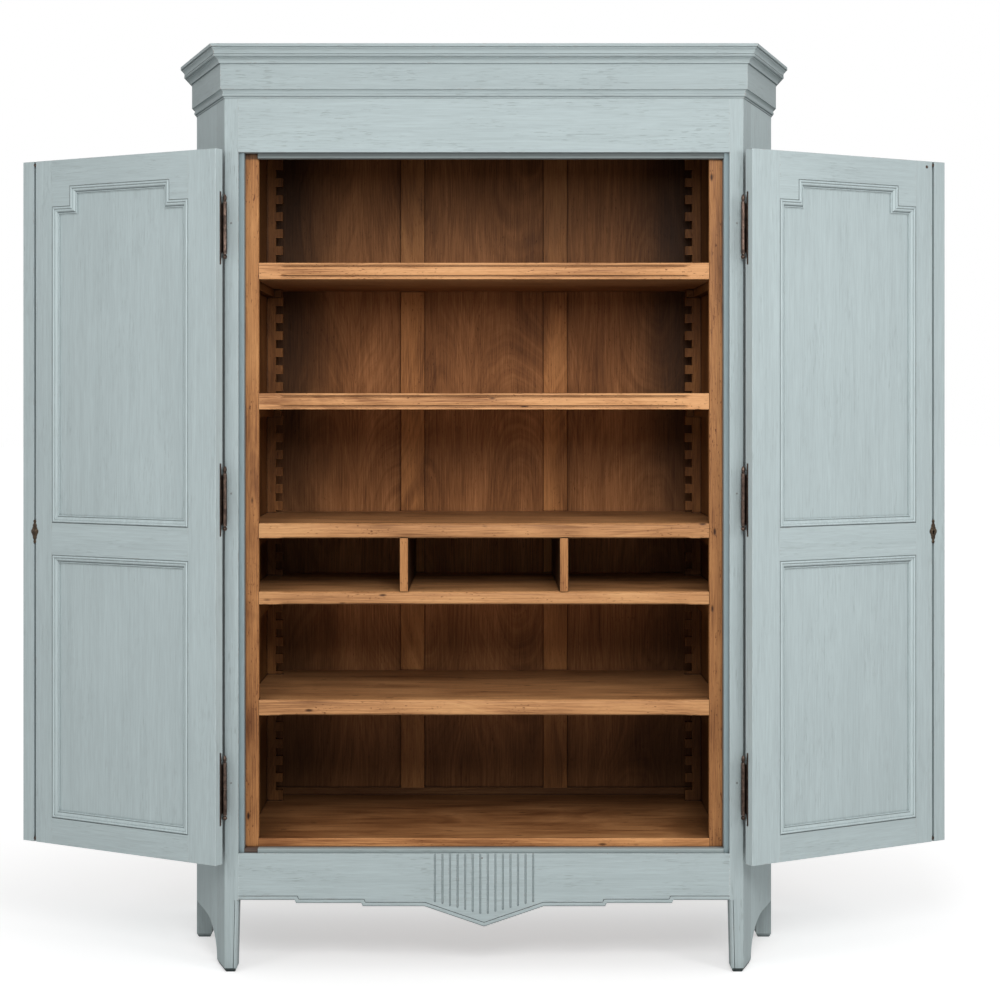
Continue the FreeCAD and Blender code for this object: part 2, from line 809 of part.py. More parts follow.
def moulded_front_steps(thickness):
    """What is cut away in front of a fillet, quirk, torus, quirk and fillet."""
    low_torus = shelf_fillet + shelf_quirk_height
    high_torus = thickness - low_torus
    high_quirk = thickness - shelf_fillet
    above = thickness + cut_spare
    return [(-cut_spare, -cut_spare), (shelf_set_back, -cut_spare), (shelf_set_back, shelf_fillet),
            (shelf_quirk_depth, shelf_fillet), (shelf_quirk_depth, low_torus), (shelf_torus_side, low_torus),
            (shelf_set_back, thickness / 2, shelf_torus_side, high_torus), (shelf_quirk_depth, high_torus),
            (shelf_quirk_depth, high_quirk), (shelf_set_back, high_quirk), (shelf_set_back, above),
            (-cut_spare, above)]


def rounded_front_steps(thickness):
    """What is cut away in front of a simply rounded edge."""
    soft = shelf_plain_round
    near = soft * (1 - math.cos(math.pi / 4))
    above = thickness + cut_spare
    return [(-cut_spare, -cut_spare), (soft, -cut_spare), (soft, 0), (near, near, shelf_set_back, soft),
            (shelf_set_back, thickness - soft), (near, thickness - near, soft, thickness), (soft, above),
            (-cut_spare, above)]


def divider():
    """A cubby divider between the third and fourth shelves."""
    low = shelf_heights["shelf_4"]
    high = shelf_heights["shelf_3"] - shelf_thicknesses["shelf_3"]
    half = divider_thickness / 2
    front = shelf_front + divider_recess
    x_from, x_to = divider_centre - half, divider_centre + half
    board = box(x_from, x_to, front, shelf_back, low, high)
    return eased(board, edge_ease, {"x": x_from, "y": front}, {"x": x_to, "y": front})


# Doors, drawn closed on the right side

def upper_opening():
    """The outline of the upper panel, with its two square notched corners, seen from inside."""
    low, high = lock_rail_top, upper_panel_top
    left, right = door_panel_inner_x, door_panel_outer_x
    return [V(left, 0, low), V(right, 0, low), V(right, 0, high - notch_down),
            V(right - notch_across, 0, high - notch_down), V(right - notch_across, 0, high),
            V(left + notch_across, 0, high), V(left + notch_across, 0, high - notch_down),
            V(left, 0, high - notch_down)]


def lower_opening():
    """The outline of the lower panel."""
    low, high = lower_panel_bottom, lock_rail_bottom
    return [V(door_panel_inner_x, 0, low), V(door_panel_outer_x, 0, low), V(door_panel_outer_x, 0, high),
            V(door_panel_inner_x, 0, high)]


def door_panels():
    """The two flat panels, with tongues that lie in the grooves of the frame."""
    y_from = door_outer_y + door_panel_sink
    y_to = y_from + door_panel_thickness
    x_from = door_panel_inner_x - door_panel_tongue
    x_to = door_panel_outer_x + door_panel_tongue
    spans = [(lower_panel_bottom, lock_rail_bottom), (lock_rail_top, upper_panel_top)]
    return [box(x_from, x_to, y_from, y_to, low - door_panel_tongue, high + door_panel_tongue)
            for low, high in spans]


def hinge_stile():
    """The stile that carries the hinges."""
    stile = box(door_panel_outer_x, door_hinge_x, door_outer_y, door_inner_y, door_bottom, door_top)
    stile = eased(stile, edge_ease, {"x": door_hinge_x, "y": door_outer_y},
                  {"x": door_hinge_x, "y": door_inner_y})
    return stile.cut(door_panels())


def meeting_stile(cutters):
    """The stile beside the edge strip."""
    x_from = strip_outer_x
    stile = box(x_from, door_panel_inner_x, door_outer_y, door_inner_y, door_bottom, door_top)
    return stile.cut(door_panels() + meeting_grooves() + cutters)


def meeting_grooves():
    """The shadow grooves between stile and edge strip, on both faces."""
    low, high = door_bottom - cut_spare, door_top + cut_spare
    spans = [(door_outer_y - cut_spare, door_outer_y + meeting_groove_depth),
             (door_inner_y - meeting_groove_depth, door_inner_y + cut_spare)]
    return [box(strip_outer_x - TOUCH, strip_outer_x + meeting_groove, y_from, y_to, low, high)
            for y_from, y_to in spans]


def edge_strip(cutters):
    """The strip along the free edge."""
    strip = box(door_free_x, strip_outer_x, door_outer_y, door_inner_y, door_bottom, door_top)
    strip = eased(strip, edge_ease, {"x": door_free_x, "y": door_outer_y},
                  {"x": door_free_x, "y": door_inner_y})
    return strip.cut(cutters)


def door_rails():
    """Bottom rail, lock rail and the top rail with its two square ears."""
    spans = [(door_bottom, lower_panel_bottom), (lock_rail_bottom, lock_rail_top)]
    rails = [box(door_panel_inner_x, door_panel_outer_x, door_outer_y, door_inner_y, low, high)
             for low, high in spans]
    opening = upper_opening()
    outline = [V(door_panel_inner_x, 0, door_top), opening[7], opening[6], opening[5], opening[4], opening[3],
               opening[2], V(door_panel_outer_x, 0, door_top)]
    outline = [V(point.x, door_outer_y, point.z) for point in outline]
    rails.append(prism(outline, BACKWARD * door_thickness))
    return [rail.cut(door_panels()) for rail in rails]


def door_mouldings():
    """The mitred mouldings round both panels, on the inner and the outer face."""
    floor = -door_panel_sink
    roll_middle = (moulding_quirk_width + moulding_roll_end) / 2
    bead_middle = (moulding_slope_end + moulding_bead_end) / 2
    steps = [(0, floor), (0, -moulding_quirk_depth), (moulding_quirk_width, -moulding_quirk_depth),
             (moulding_quirk_width, 0), (roll_middle, moulding_proud, moulding_roll_end, 0),
             (moulding_roll_end, -moulding_roll_step),
             (moulding_slope_middle, -moulding_slope_middle_low,
              moulding_slope_end, -moulding_low - moulding_bead_step),
             (moulding_slope_end, -moulding_low),
             (bead_middle, moulding_bead_proud - moulding_low, moulding_bead_end, -moulding_low),
             (moulding_bead_end, floor + moulding_lip), (moulding_width, floor + moulding_lip),
             (moulding_width, floor)]
    solids = []
    for outline in (lower_opening(), upper_opening()):
        inner = [V(point.x, door_inner_y, point.z) for point in outline]
        outer = [V(point.x, door_outer_y, point.z) for point in reversed(outline)]
        low, high = floor - cut_spare, moulding_proud + cut_spare
        solids += mitred_runs(inner, BACKWARD, steps, moulding_width, low, high, True)
        solids += mitred_runs(outer, FORWARD, steps, moulding_width, low, high, True)
    return solids


# Hinges, drawn with the right door closed

def pin_axis(height):
    """The point on a hinge's axis at a height."""
    return V(pin_half_spacing, door_outer_y, height)


def hinge_bore(height):
    """The hole through both knuckles."""
    low = pin_axis(height - half_barrel - cut_spare)
    return Part.makeCylinder(pin_radius + pin_play, barrel_length + 2 * cut_spare, low, UP)


def door_leaf(height):
    """The leaf on the door's edge with slender tips, and the upper knuckle that it carries."""
    plate_x = door_hinge_x
    y_from = door_outer_y + door_leaf_offset
    half = door_leaf_height / 2
    plate = box(plate_x, plate_x + leaf_thickness, y_from, y_from + door_leaf_width,
                height - half, height + half)
    tip_from = y_from + door_leaf_width - leaf_tip_width
    tips = box(plate_x, plate_x + leaf_thickness, tip_from, tip_from + leaf_tip_width,
               height - half - leaf_tip_height, height + half + leaf_tip_height)
    knuckle_low = height + knuckle_gap / 2
    knuckle = Part.makeCylinder(barrel_radius, half_barrel - knuckle_gap / 2, pin_axis(knuckle_low), UP)
    web = box(plate_x, pin_half_spacing, y_from, y_from + leaf_thickness, knuckle_low,
              height + half_barrel - wing_end_clearance)
    return join([plate, tips, knuckle, web]).cut(hinge_bore(height))


def frame_wing_plate(height):
    """The wing that stands edgewise in the front post."""
    half_leaf = leaf_thickness / 2
    return box(pin_half_spacing - half_leaf, pin_half_spacing + half_leaf, door_outer_y, frame_wing_depth,
               height - half_barrel + wing_end_clearance, height - knuckle_gap / 2 - wing_end_clearance)


def frame_knuckle(height):
    """The lower knuckle with its wing."""
    low = pin_axis(height - half_barrel)
    knuckle = Part.makeCylinder(barrel_radius, half_barrel - knuckle_gap / 2, low, UP)
    return join([knuckle, frame_wing_plate(height)]).cut(hinge_bore(height))


def hinge_pin(height):
    """The pin with an acorn on its top and a ball at its foot."""
    top = half_barrel + knuckle_gap / 2
    foot = -half_barrel
    ball_low = foot - ball_gap - 2 * ball_radius
    ball_middle = ball_low + ball_radius
    neck_meet = math.sqrt(ball_radius ** 2 - finial_neck_radius ** 2)
    start = pin_axis(height)
    steps = [(0, ball_low),
             (ball_radius * math.cos(math.pi / 8), ball_middle - ball_radius * math.sin(math.pi / 8),
              finial_neck_radius, ball_middle + neck_meet),
             (finial_neck_radius, foot - pin_flange), (barrel_radius, foot - pin_flange),
             (barrel_radius, foot), (pin_radius, foot), (pin_radius, top), (barrel_radius, top),
             (barrel_radius, top + finial_collar), (finial_neck_radius, top + 2 * finial_collar),
             (acorn_radius, top + acorn_belly_height, finial_neck_radius, top + acorn_shoulder_height),
             (0, top + acorn_height)]
    return section_face(start, RIGHTWARD, UP, steps).revolve(start, UP, 360)


# Lock, strike, escutcheons and catch studs, drawn on the closed right door

def lock_parts():
    """The lock case with its face plate, and the pocket that the case fills."""
    plate_to = door_free_x + lock_plate_thickness
    case_to = plate_to + lock_case_width
    half_y = lock_case_thickness / 2
    half_z = lock_case_height / 2
    y_from, y_to = door_middle_y - half_y, door_middle_y + half_y
    low, high = lock_height - half_z, lock_height + half_z
    bolt_low = lock_height + key_bore_radius
    half_slot = bolt_thickness / 2 + bolt_play
    plate = lock_face_plate()
    block = box(plate_to, case_to, y_from, y_to, low, high)
    room = box(plate_to, case_to - lock_wall, y_from + lock_wall, y_to - lock_wall,
               low + lock_wall, high - lock_wall)
    bolt_slot = box(door_free_x - cut_spare, plate_to + cut_spare, door_middle_y - half_slot,
                    door_middle_y + half_slot, bolt_low - bolt_play, bolt_low + bolt_height + bolt_play)
    case = join([plate, block]).cut([room, bolt_slot, key_hole(lock_case_thickness + 2 * cut_spare)])
    return case, [plate, block]


def lock_face_plate():
    """The thin plate in the door's edge, which the lock and the strike have alike."""
    half_width = lock_plate_width / 2
    half_height = lock_plate_height / 2
    return box(door_free_x, door_free_x + lock_plate_thickness, door_middle_y - half_width,
               door_middle_y + half_width, lock_height - half_height, lock_height + half_height)


def key_hole(length):
    """A keyhole cutter: a round hole with a slot below it, through the door's middle."""
    y_from = door_middle_y - length / 2
    hole = Part.makeCylinder(key_hole_radius, length, V(groove_x, y_from, lock_height), BACKWARD)
    slot = box(groove_x - key_slot_width / 2, groove_x + key_slot_width / 2, y_from, y_from + length,
               lock_height - key_slot_length, lock_height)
    return join([hole, slot])


def key_bore():
    """The round hole through the wood behind the escutcheons."""
    start = V(groove_x, door_outer_y - cut_spare, lock_height)
    return Part.makeCylinder(key_bore_radius, door_thickness + 2 * cut_spare, start, BACKWARD)


def lock_bolt():
    """The sliding bolt, drawn back."""
    x_from = door_free_x + bolt_setback
    low = lock_height + key_bore_radius
    y_from, y_to = door_middle_y - bolt_thickness / 2, door_middle_y + bolt_thickness / 2
    bar = box(x_from, x_from + bolt_length, y_from, y_to, low, low + bolt_height)
    return eased(bar, bolt_arris, {"x": x_from, "y": y_from}, {"x": x_from, "y": y_to})


def bolt_guides():
    """Two guide ribs in the lock case, above and below the bolt."""
    plate_to = door_free_x + lock_plate_thickness
    half_y = lock_case_thickness / 2 - lock_wall
    low = lock_height + key_bore_radius
    spans = [(low - bolt_play - lock_wall, low - bolt_play),
             (low + bolt_height + bolt_play, low + bolt_height + bolt_play + lock_wall)]
    return [box(plate_to, plate_to + bolt_length / 2, door_middle_y - half_y, door_middle_y + half_y,
                z_from, z_to) for z_from, z_to in spans]


def strike_parts():
    """The strike plate of the other door, and the pocket behind it."""
    plate = lock_face_plate()
    low = lock_height + key_bore_radius
    half_mouth = bolt_thickness / 2 + strike_play
    mouth = box(door_free_x - cut_spare, door_free_x + strike_depth, door_middle_y - half_mouth,
                door_middle_y + half_mouth, low - strike_play, low + bolt_height + strike_play)
    return plate.cut(mouth), [plate, mouth]


def escutcheon(face_y, outward, pierced):
    """A lozenge plate with a waist, a small finial at each end, and a keyhole or a boss in its middle."""
    half = escutcheon_height / 2 - escutcheon_finial_radius
    lobe = escutcheon_half_width
    waist = escutcheon_waist
    start = V(groove_x, face_y, lock_height)
    shoulder = escutcheon_shoulder_height
    notch_x, notch_z = escutcheon_notch_half_width, escutcheon_notch_height
    tip_x, tip_z = escutcheon_tip_half_width, escutcheon_tip_height
    steps = [(0, -half), (tip_x, -tip_z, waist, -shoulder), (notch_x, -notch_z),
             (lobe, 0, notch_x, notch_z), (waist, shoulder), (tip_x, tip_z, 0, half),
             (-tip_x, tip_z, -waist, shoulder), (-notch_x, notch_z),
             (-lobe, 0, -notch_x, -notch_z), (-waist, -shoulder)]
    plate = section_face(start, RIGHTWARD, UP, steps).extrude(outward * escutcheon_thickness)
    ends = [Part.makeCylinder(escutcheon_finial_radius, escutcheon_thickness, end, outward)
            for end in (start - UP * half, start + UP * half)]
    plate = join([plate] + ends)
    if pierced:
        return plate.cut(key_hole(door_thickness + 4 * escutcheon_thickness))
    boss = Part.makeSphere(escutcheon_boss_radius, start)
    keep = box(start.x - lobe, start.x + lobe, min(face_y, face_y + outward.y * lobe),
               max(face_y, face_y + outward.y * lobe), lock_height - lobe, lock_height + lobe)
    return join([plate, boss.common(keep)])


def stud_spots():
    """Where both doors carry catch studs: over the groove, near its top and its bottom."""
    return [V(groove_x, door_inner_y, door_bottom + bottom_stud_rise),
            V(groove_x, door_inner_y, door_top - top_stud_drop)]


def second_stud_spot():
    """Where the right door carries one stud more."""
    return V(groove_x + second_stud_offset, door_inner_y, door_top - second_stud_drop)


def studs(spots):
    """The catch studs, let into the inner face."""
    return [Part.makeCylinder(stud_radius, stud_length - stud_sink, spot - BACKWARD * stud_length, BACKWARD)
            for spot in spots]


def stud_holes(spots):
    """The holes that hold the studs."""
    return [Part.makeCylinder(stud_radius, stud_length + cut_spare, spot - BACKWARD * stud_length, BACKWARD)
            for spot in spots]


def nail_spots():
    """Where round nail heads show on the two front posts and on the apron."""
    x = front_half_width - stile_nail_inset
    heights = [hinge + rise for hinge, rise in zip(hinge_heights, stile_nail_rises)]
    stiles = [V(side * x, 0, height) for height in heights for side in (-1, 1)]
    return stiles + [V(apron_nail_x, 0, apron_top - apron_nail_drop)]


def nails(spots):
    """Nails with round heads that stand a little proud."""
    return [Part.makeCylinder(nail_radius, nail_length + nail_proud, spot - BACKWARD * nail_proud, BACKWARD)
            for spot in spots]


# Assembly

def right_door():
    """The pieces of the right door, drawn closed."""
    case, pocket = lock_parts()
    case = join([case] + bolt_guides())
    spots = stud_spots() + [second_stud_spot()]
    holes = stud_holes(spots) + pocket + [key_bore()]
    return {
        "hinge_stile": [hinge_stile()],
        "meeting_stile": [meeting_stile(holes)],
        "edge_strip": [edge_strip(holes)],
        "rails": door_rails(),
        "panels": door_panels(),
        "mouldings": door_mouldings(),
        "hinge_leaves": [door_leaf(height) for height in hinge_heights],
        "escutcheons": [escutcheon(door_inner_y, BACKWARD, True), escutcheon(door_outer_y, FORWARD, True)],
        "catch_studs": studs(spots),
        "lock_case": [case],
        "lock_bolt": [lock_bolt()],
    }


def left_door():
    """The pieces of the left door, drawn closed on the right side and mirrored when it is hung."""
    plate, pocket = strike_parts()
    holes = stud_holes(stud_spots()) + pocket
    return {
        "hinge_stile": [hinge_stile()],
        "meeting_stile": [meeting_stile(holes)],
        "edge_strip": [edge_strip(holes)],
        "rails": door_rails(),
        "panels": door_panels(),
        "mouldings": door_mouldings(),
        "hinge_leaves": [door_leaf(height) for height in hinge_heights],
        "escutcheons": [escutcheon(door_inner_y, BACKWARD, False), escutcheon(door_outer_y, FORWARD, False)],
        "catch_studs": studs(stud_spots()),
        "strike_plate": [plate],
    }


def swung_open(solids, side):
    """A door's pieces turned about their pins to where the open door stands."""
    opened = []
    for solid in solids:
        turned = solid.copy()
        turned.rotate(pin_axis(0), UP, door_open_angle)
        opened.append(turned if side > 0 else mirrored(turned))
    return opened


def carcass():
    """The pieces that stand still."""
    post = front_post().cut([frame_wing_plate(height) for height in hinge_heights])
    post_nails = nails(nail_spots()[:-1])
    runs = cornice_runs()
    nodes = {
        "front_post_left": [mirrored(post).cut(post_nails)],
        "front_post_right": [post.cut(post_nails)],
        "face_nails": nails(nail_spots()),
        "canted_panel_left": [mirrored(canted_panel())],
        "canted_panel_right": [canted_panel()],
        "middle_posts": both_sides(square_leg_post(cant_depth)),
        "rear_posts": both_sides(square_leg_post(cabinet_depth - square_post)),
        "side_rails": [piece for rail in side_rails() for piece in both_sides(rail)],
        "side_panels": [piece for panel in side_panels() for piece in both_sides(panel)],
        "header_rail": [header_rail()],
        "apron": [apron().cut(nails(nail_spots()[-1:]))],
        "cornice_left": runs[0:2],
        "cornice_front": runs[2:3],
        "cornice_right": runs[3:5],
        "top_board": [top_board()],
        "door_stop_uprights": stop_uprights(),
        "door_stop_strips": stop_cross_strips(),
        "sill_block": [sill_block()],
        "inner_posts": both_sides(inner_post()),
        "side_linings": both_sides(side_lining()),
        "floor_board": [floor_board()],
        "floor_bearers": floor_bearers(),
        "ceiling_board": [ceiling_board()],
        "back_stiles": back_stiles(),
        "back_rails": back_rails(),
        "back_panels": back_panel_boxes(),
        "front_racks": both_sides(front_rack()),
        "rear_racks": both_sides(rear_rack()),
        "shelf_cleats": [piece for name in shelf_names for piece in both_sides(cleat(name))],
        "cubby_dividers": both_sides(divider()),
        "hinge_frame_knuckles": [piece for height in hinge_heights
                                 for piece in both_sides(frame_knuckle(height))],
        "hinge_pins": [piece for height in hinge_heights for piece in both_sides(hinge_pin(height))],
    }
    for name in shelf_names:
        nodes[name] = [shelf_board(name)]
    return nodes


def main():
    """Builds every piece and writes one file for each."""
    os.makedirs("parts", exist_ok=True)
    nodes = carcass()
    for name, solids in right_door().items():
        node = name if name.startswith("lock") else "right_door_" + name
        nodes[node] = swung_open(solids, 1)
    for name, solids in left_door().items():
        node = name if name.startswith("strike") else "left_door_" + name
        nodes[node] = swung_open(solids, -1)
    for name, solids in nodes.items():
        for solid in solids:
            solid.translate(V(0, -middle_y, 0))
        shape = solids[0] if len(solids) == 1 else Part.makeCompound(solids)
        shape.exportStep("parts/" + name + ".step")
        state = "valid" if shape.isValid() else "NOT VALID"
        print(name, len(shape.Solids), state, round(shape.Volume / 1000))


main()
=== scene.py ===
"""Looks of a painted bonnetiere cabinet: grey-blue paint outside, waxed wood inside, iron hinges.

Metres, +X to the right, +Y from the front to the back, +Z up, the origin on the floor.
"""

import logging
import math
from dataclasses import dataclass, replace
from enum import Enum
from typing import Any, Callable, Iterable, Optional, Sequence, Union

import bpy
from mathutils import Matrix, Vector, noise


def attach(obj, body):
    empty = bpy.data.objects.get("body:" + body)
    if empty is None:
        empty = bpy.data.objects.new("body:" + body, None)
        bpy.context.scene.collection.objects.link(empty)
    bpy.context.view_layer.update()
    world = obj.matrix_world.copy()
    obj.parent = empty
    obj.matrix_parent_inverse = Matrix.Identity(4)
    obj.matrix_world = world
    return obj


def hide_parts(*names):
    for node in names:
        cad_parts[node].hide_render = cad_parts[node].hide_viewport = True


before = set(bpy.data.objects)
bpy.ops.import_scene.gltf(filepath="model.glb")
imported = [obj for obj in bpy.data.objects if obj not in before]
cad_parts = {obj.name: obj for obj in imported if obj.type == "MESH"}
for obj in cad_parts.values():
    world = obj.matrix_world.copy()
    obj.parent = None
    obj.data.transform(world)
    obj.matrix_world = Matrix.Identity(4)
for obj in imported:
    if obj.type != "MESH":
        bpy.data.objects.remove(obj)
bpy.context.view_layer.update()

LOG = logging.getLogger("cabinet")
Names = tuple[str, ...]
Face = tuple[int, ...]
Pair = tuple[float, float]
Triple = tuple[float, float, float]
Colour = Triple
Material = bpy.types.Material
Socket = bpy.types.NodeSocket
DOOR_TURN = math.radians(31)
CANT_TURN = math.atan2(341, 110)


class Grain(Enum):
    """Which way the grain of a board runs, as the turns that bring the x axis onto it."""

    ACROSS = (0.0, 0.0, 0.0)
    UPRIGHT = (0.0, -math.pi / 2, 0.0)
    DEEP = (0.0, 0.0, math.pi / 2)
    RIGHT_DOOR = (0.0, 0.0, DOOR_TURN)
    LEFT_DOOR = (0.0, 0.0, -DOOR_TURN)
    RIGHT_CANT = (0.0, 0.0, CANT_TURN)
    LEFT_CANT = (0.0, 0.0, -CANT_TURN)


class Signal:
    """A number that varies over a surface and takes part in Python expressions."""

    def __init__(self, recipe: "Recipe", socket: Socket) -> None:
        """Keeps the socket and the recipe that it belongs to."""
        self.recipe = recipe
        self.socket = socket

    def __add__(self, other: "Number") -> "Signal":
        """Sum of two numbers."""
        return self.recipe.maths("ADD", self, other)

    def __sub__(self, other: "Number") -> "Signal":
        """Difference of two numbers."""
        return self.recipe.maths("SUBTRACT", self, other)

    def __rsub__(self, other: "Number") -> "Signal":
        """Difference of a plain number and this one."""
        return self.recipe.maths("SUBTRACT", other, self)

    def __mul__(self, other: "Number") -> "Signal":
        """Product of two numbers."""
        return self.recipe.maths("MULTIPLY", self, other)

    __radd__ = __add__

    def between(self, low: float, high: float) -> "Signal":
        """A soft step from 0 at low to 1 at high, also when low is the larger one."""
        step = self.recipe.node("MapRange", {"Value": self, "From Min": low, "From Max": high},
                                interpolation_type="SMOOTHSTEP")
        return Signal(self.recipe, step.outputs[0])

    def fade(self, share: float) -> "Signal":
        """A factor that goes from 1 to a share as the mask rises."""
        return 1.0 - self * (1.0 - share)


Number = Union[Signal, float]
Entry = Union[Signal, Socket, float, tuple]


@dataclass(frozen=True)
class Streaks:
    """Noise drawn out along the grain, with its length and width in metres and a shift that sets it apart."""

    length: float
    width: float
    shift: float = 0.0
    detail: float = 2.0
    roughness: float = 0.5


class Recipe:
    """The node tree of one finish on boards of one grain direction."""

    def __init__(self, tree: bpy.types.NodeTree, grain: Grain = Grain.ACROSS) -> None:
        """Empties the tree and keeps it with the grain."""
        self.tree = tree
        self.grain = grain
        tree.nodes.clear()

    def node(self, kind: str, inputs: Optional[dict[Union[str, int], Entry]] = None,
             **settings: Any) -> bpy.types.Node:
        """Adds a node.

        Args:
            kind: The node's type, without the words that every type starts with.
            inputs: Values or links, by the name or number of the socket.
            **settings: The node's own settings, set first; "stops" are a ramp's places and colours.

        Returns:
            The new node.
        """
        made = self.tree.nodes.new("ShaderNode" + kind)
        for name, value in settings.items():
            if name == "stops":
                self.place_stops(made.color_ramp, value)
            else:
                setattr(made, name, value)
        for key, value in (inputs or {}).items():
            socket = made.inputs[key]
            if isinstance(value, Signal):
                value = value.socket
            if isinstance(value, Socket):
                self.tree.links.new(value, socket)
            else:
                socket.default_value = (*value, 1.0) if socket.type == "RGBA" else value
        return made

    @staticmethod
    def place_stops(ramp: bpy.types.ColorRamp, stops: Iterable[tuple[float, Colour]]) -> None:
        """Sets the stops of a colour ramp, of which two are there from the start.

        Args:
            ramp: The ramp.
            stops: The place and colour of each stop.
        """
        for index, (place, colour) in enumerate(stops):
            element = ramp.elements[index] if index < 2 else ramp.elements.new(place)
            element.position = place
            element.color = (*colour, 1.0)

    def maths(self, operation: str, first: Number, second: Number = 0.0) -> Signal:
        """The result of one operation on two numbers."""
        made = self.node("Math", {0: first, 1: second}, operation=operation)
        return Signal(self, made.outputs[0])

    def vector(self, operation: str, first: Entry, second: Entry) -> Socket:
        """The result of one operation on two vectors."""
        return self.node("VectorMath", {0: first, 1: second}, operation=operation).outputs[0]

    def place(self, length: float, width: float, shift: float = 0.0) -> Socket:
        """Coordinates along and across the grain.

        Args:
            length: The distance along the grain that counts as one.
            width: The distance across it that counts as one.
            shift: How far the pattern is moved, so that two patterns differ.

        Returns:
            The coordinates' socket.
        """
        coordinates = self.node("TexCoord").outputs["Object"]
        inputs = {"Vector": coordinates, "Location": (shift, shift, shift), "Rotation": self.grain.value,
                  "Scale": (length, width, width)}
        return self.node("Mapping", inputs, vector_type="TEXTURE").outputs[0]

    def noise(self, place: Socket, detail: float, roughness: float) -> Signal:
        """Cloudy noise at a place, about 0.5 in the mean."""
        inputs = {"Vector": place, "Scale": 1.0, "Detail": detail, "Roughness": roughness}
        return Signal(self, self.node("TexNoise", inputs).outputs[0])

    def streaks(self, kind: Streaks) -> Signal:
        """Noise drawn out along the grain."""
        return self.noise(self.place(kind.length, kind.width, kind.shift), kind.detail, kind.roughness)

    def mix(self, share: Number, first: Entry, second: Entry) -> Socket:
        """Two colours blended by a share."""
        return self.node("Mix", {0: share, 6: first, 7: second}, data_type="RGBA").outputs[2]

    def shade(self, colour: Entry, strength: Number) -> Socket:
        """A colour made lighter or darker by a factor that varies."""
        return self.node("VectorMath", {0: colour, 3: strength}, operation="SCALE").outputs[0]

    def arris(self, radius: float) -> Signal:
        """A mask that is 0 on flat faces and rises towards sharp edges.

        Args:
            radius: How far from an edge it begins to rise.

        Returns:
            The mask.
        """
        soft = self.node("Bevel", {"Radius": radius}, samples=6).outputs[0]
        true = self.node("NewGeometry").outputs["True Normal"]
        dot = self.node("VectorMath", {0: soft, 1: true}, operation="DOT_PRODUCT")
        return 1.0 - Signal(self, dot.outputs[1])

    def part(self, vector: Socket, axis: int) -> Signal:
        """One of the three numbers of a vector."""
        return Signal(self, self.node("SeparateXYZ", {0: vector}).outputs[axis])

    def position(self, axis: int) -> Signal:
        """One part of a point's place in metres, as the cabinet stands at rest."""
        return self.part(self.node("NewGeometry").outputs["Position"], axis)

    def facing(self, axis: int) -> Signal:
        """How far a face looks along an axis; along z it is 1 on a table top and -1 on a ceiling."""
        return self.part(self.node("NewGeometry").outputs["True Normal"], axis)

    def recess(self, reach: float) -> Signal:
        """A mask that is 0 on open faces and rises in quirks, corners and gaps."""
        free = self.node("AmbientOcclusion", {"Distance": reach}, samples=8).outputs["AO"]
        return 1.0 - Signal(self, free)

    def surface(self, colour: Entry, roughness: Number, relief: Number, depth: float, ease: float,
                constants: dict[str, float]) -> None:
        """Ends the recipe with the shader.

        Args:
            colour: The base colour.
            roughness: The roughness.
            relief: The height of the relief, 0 to 1.
            depth: The height in metres that a relief of 1 stands for.
            ease: The radius that sharp edges look rounded by.
            constants: Values of other sockets that are the same all over.
        """
        eased = self.node("Bevel", {"Radius": ease}, samples=4).outputs[0]
        bump = self.node("Bump", {"Height": relief, "Distance": depth, "Normal": eased}).outputs[0]
        inputs = {"Base Color": colour, "Roughness": roughness, "Normal": bump, **constants}
        shader = self.node("BsdfPrincipled", inputs).outputs[0]
        self.node("OutputMaterial", {"Surface": shader})


def new_material(name: str, grain: Grain = Grain.ACROSS) -> tuple[Material, Recipe]:
    """A material with an empty recipe.

    Args:
        name: The material's name.
        grain: The grain of the boards that it is for.

    Returns:
        The material and its recipe.
    """
    material = bpy.data.materials.new(name)
    material.use_nodes = True
    return material, Recipe(material.node_tree, grain)


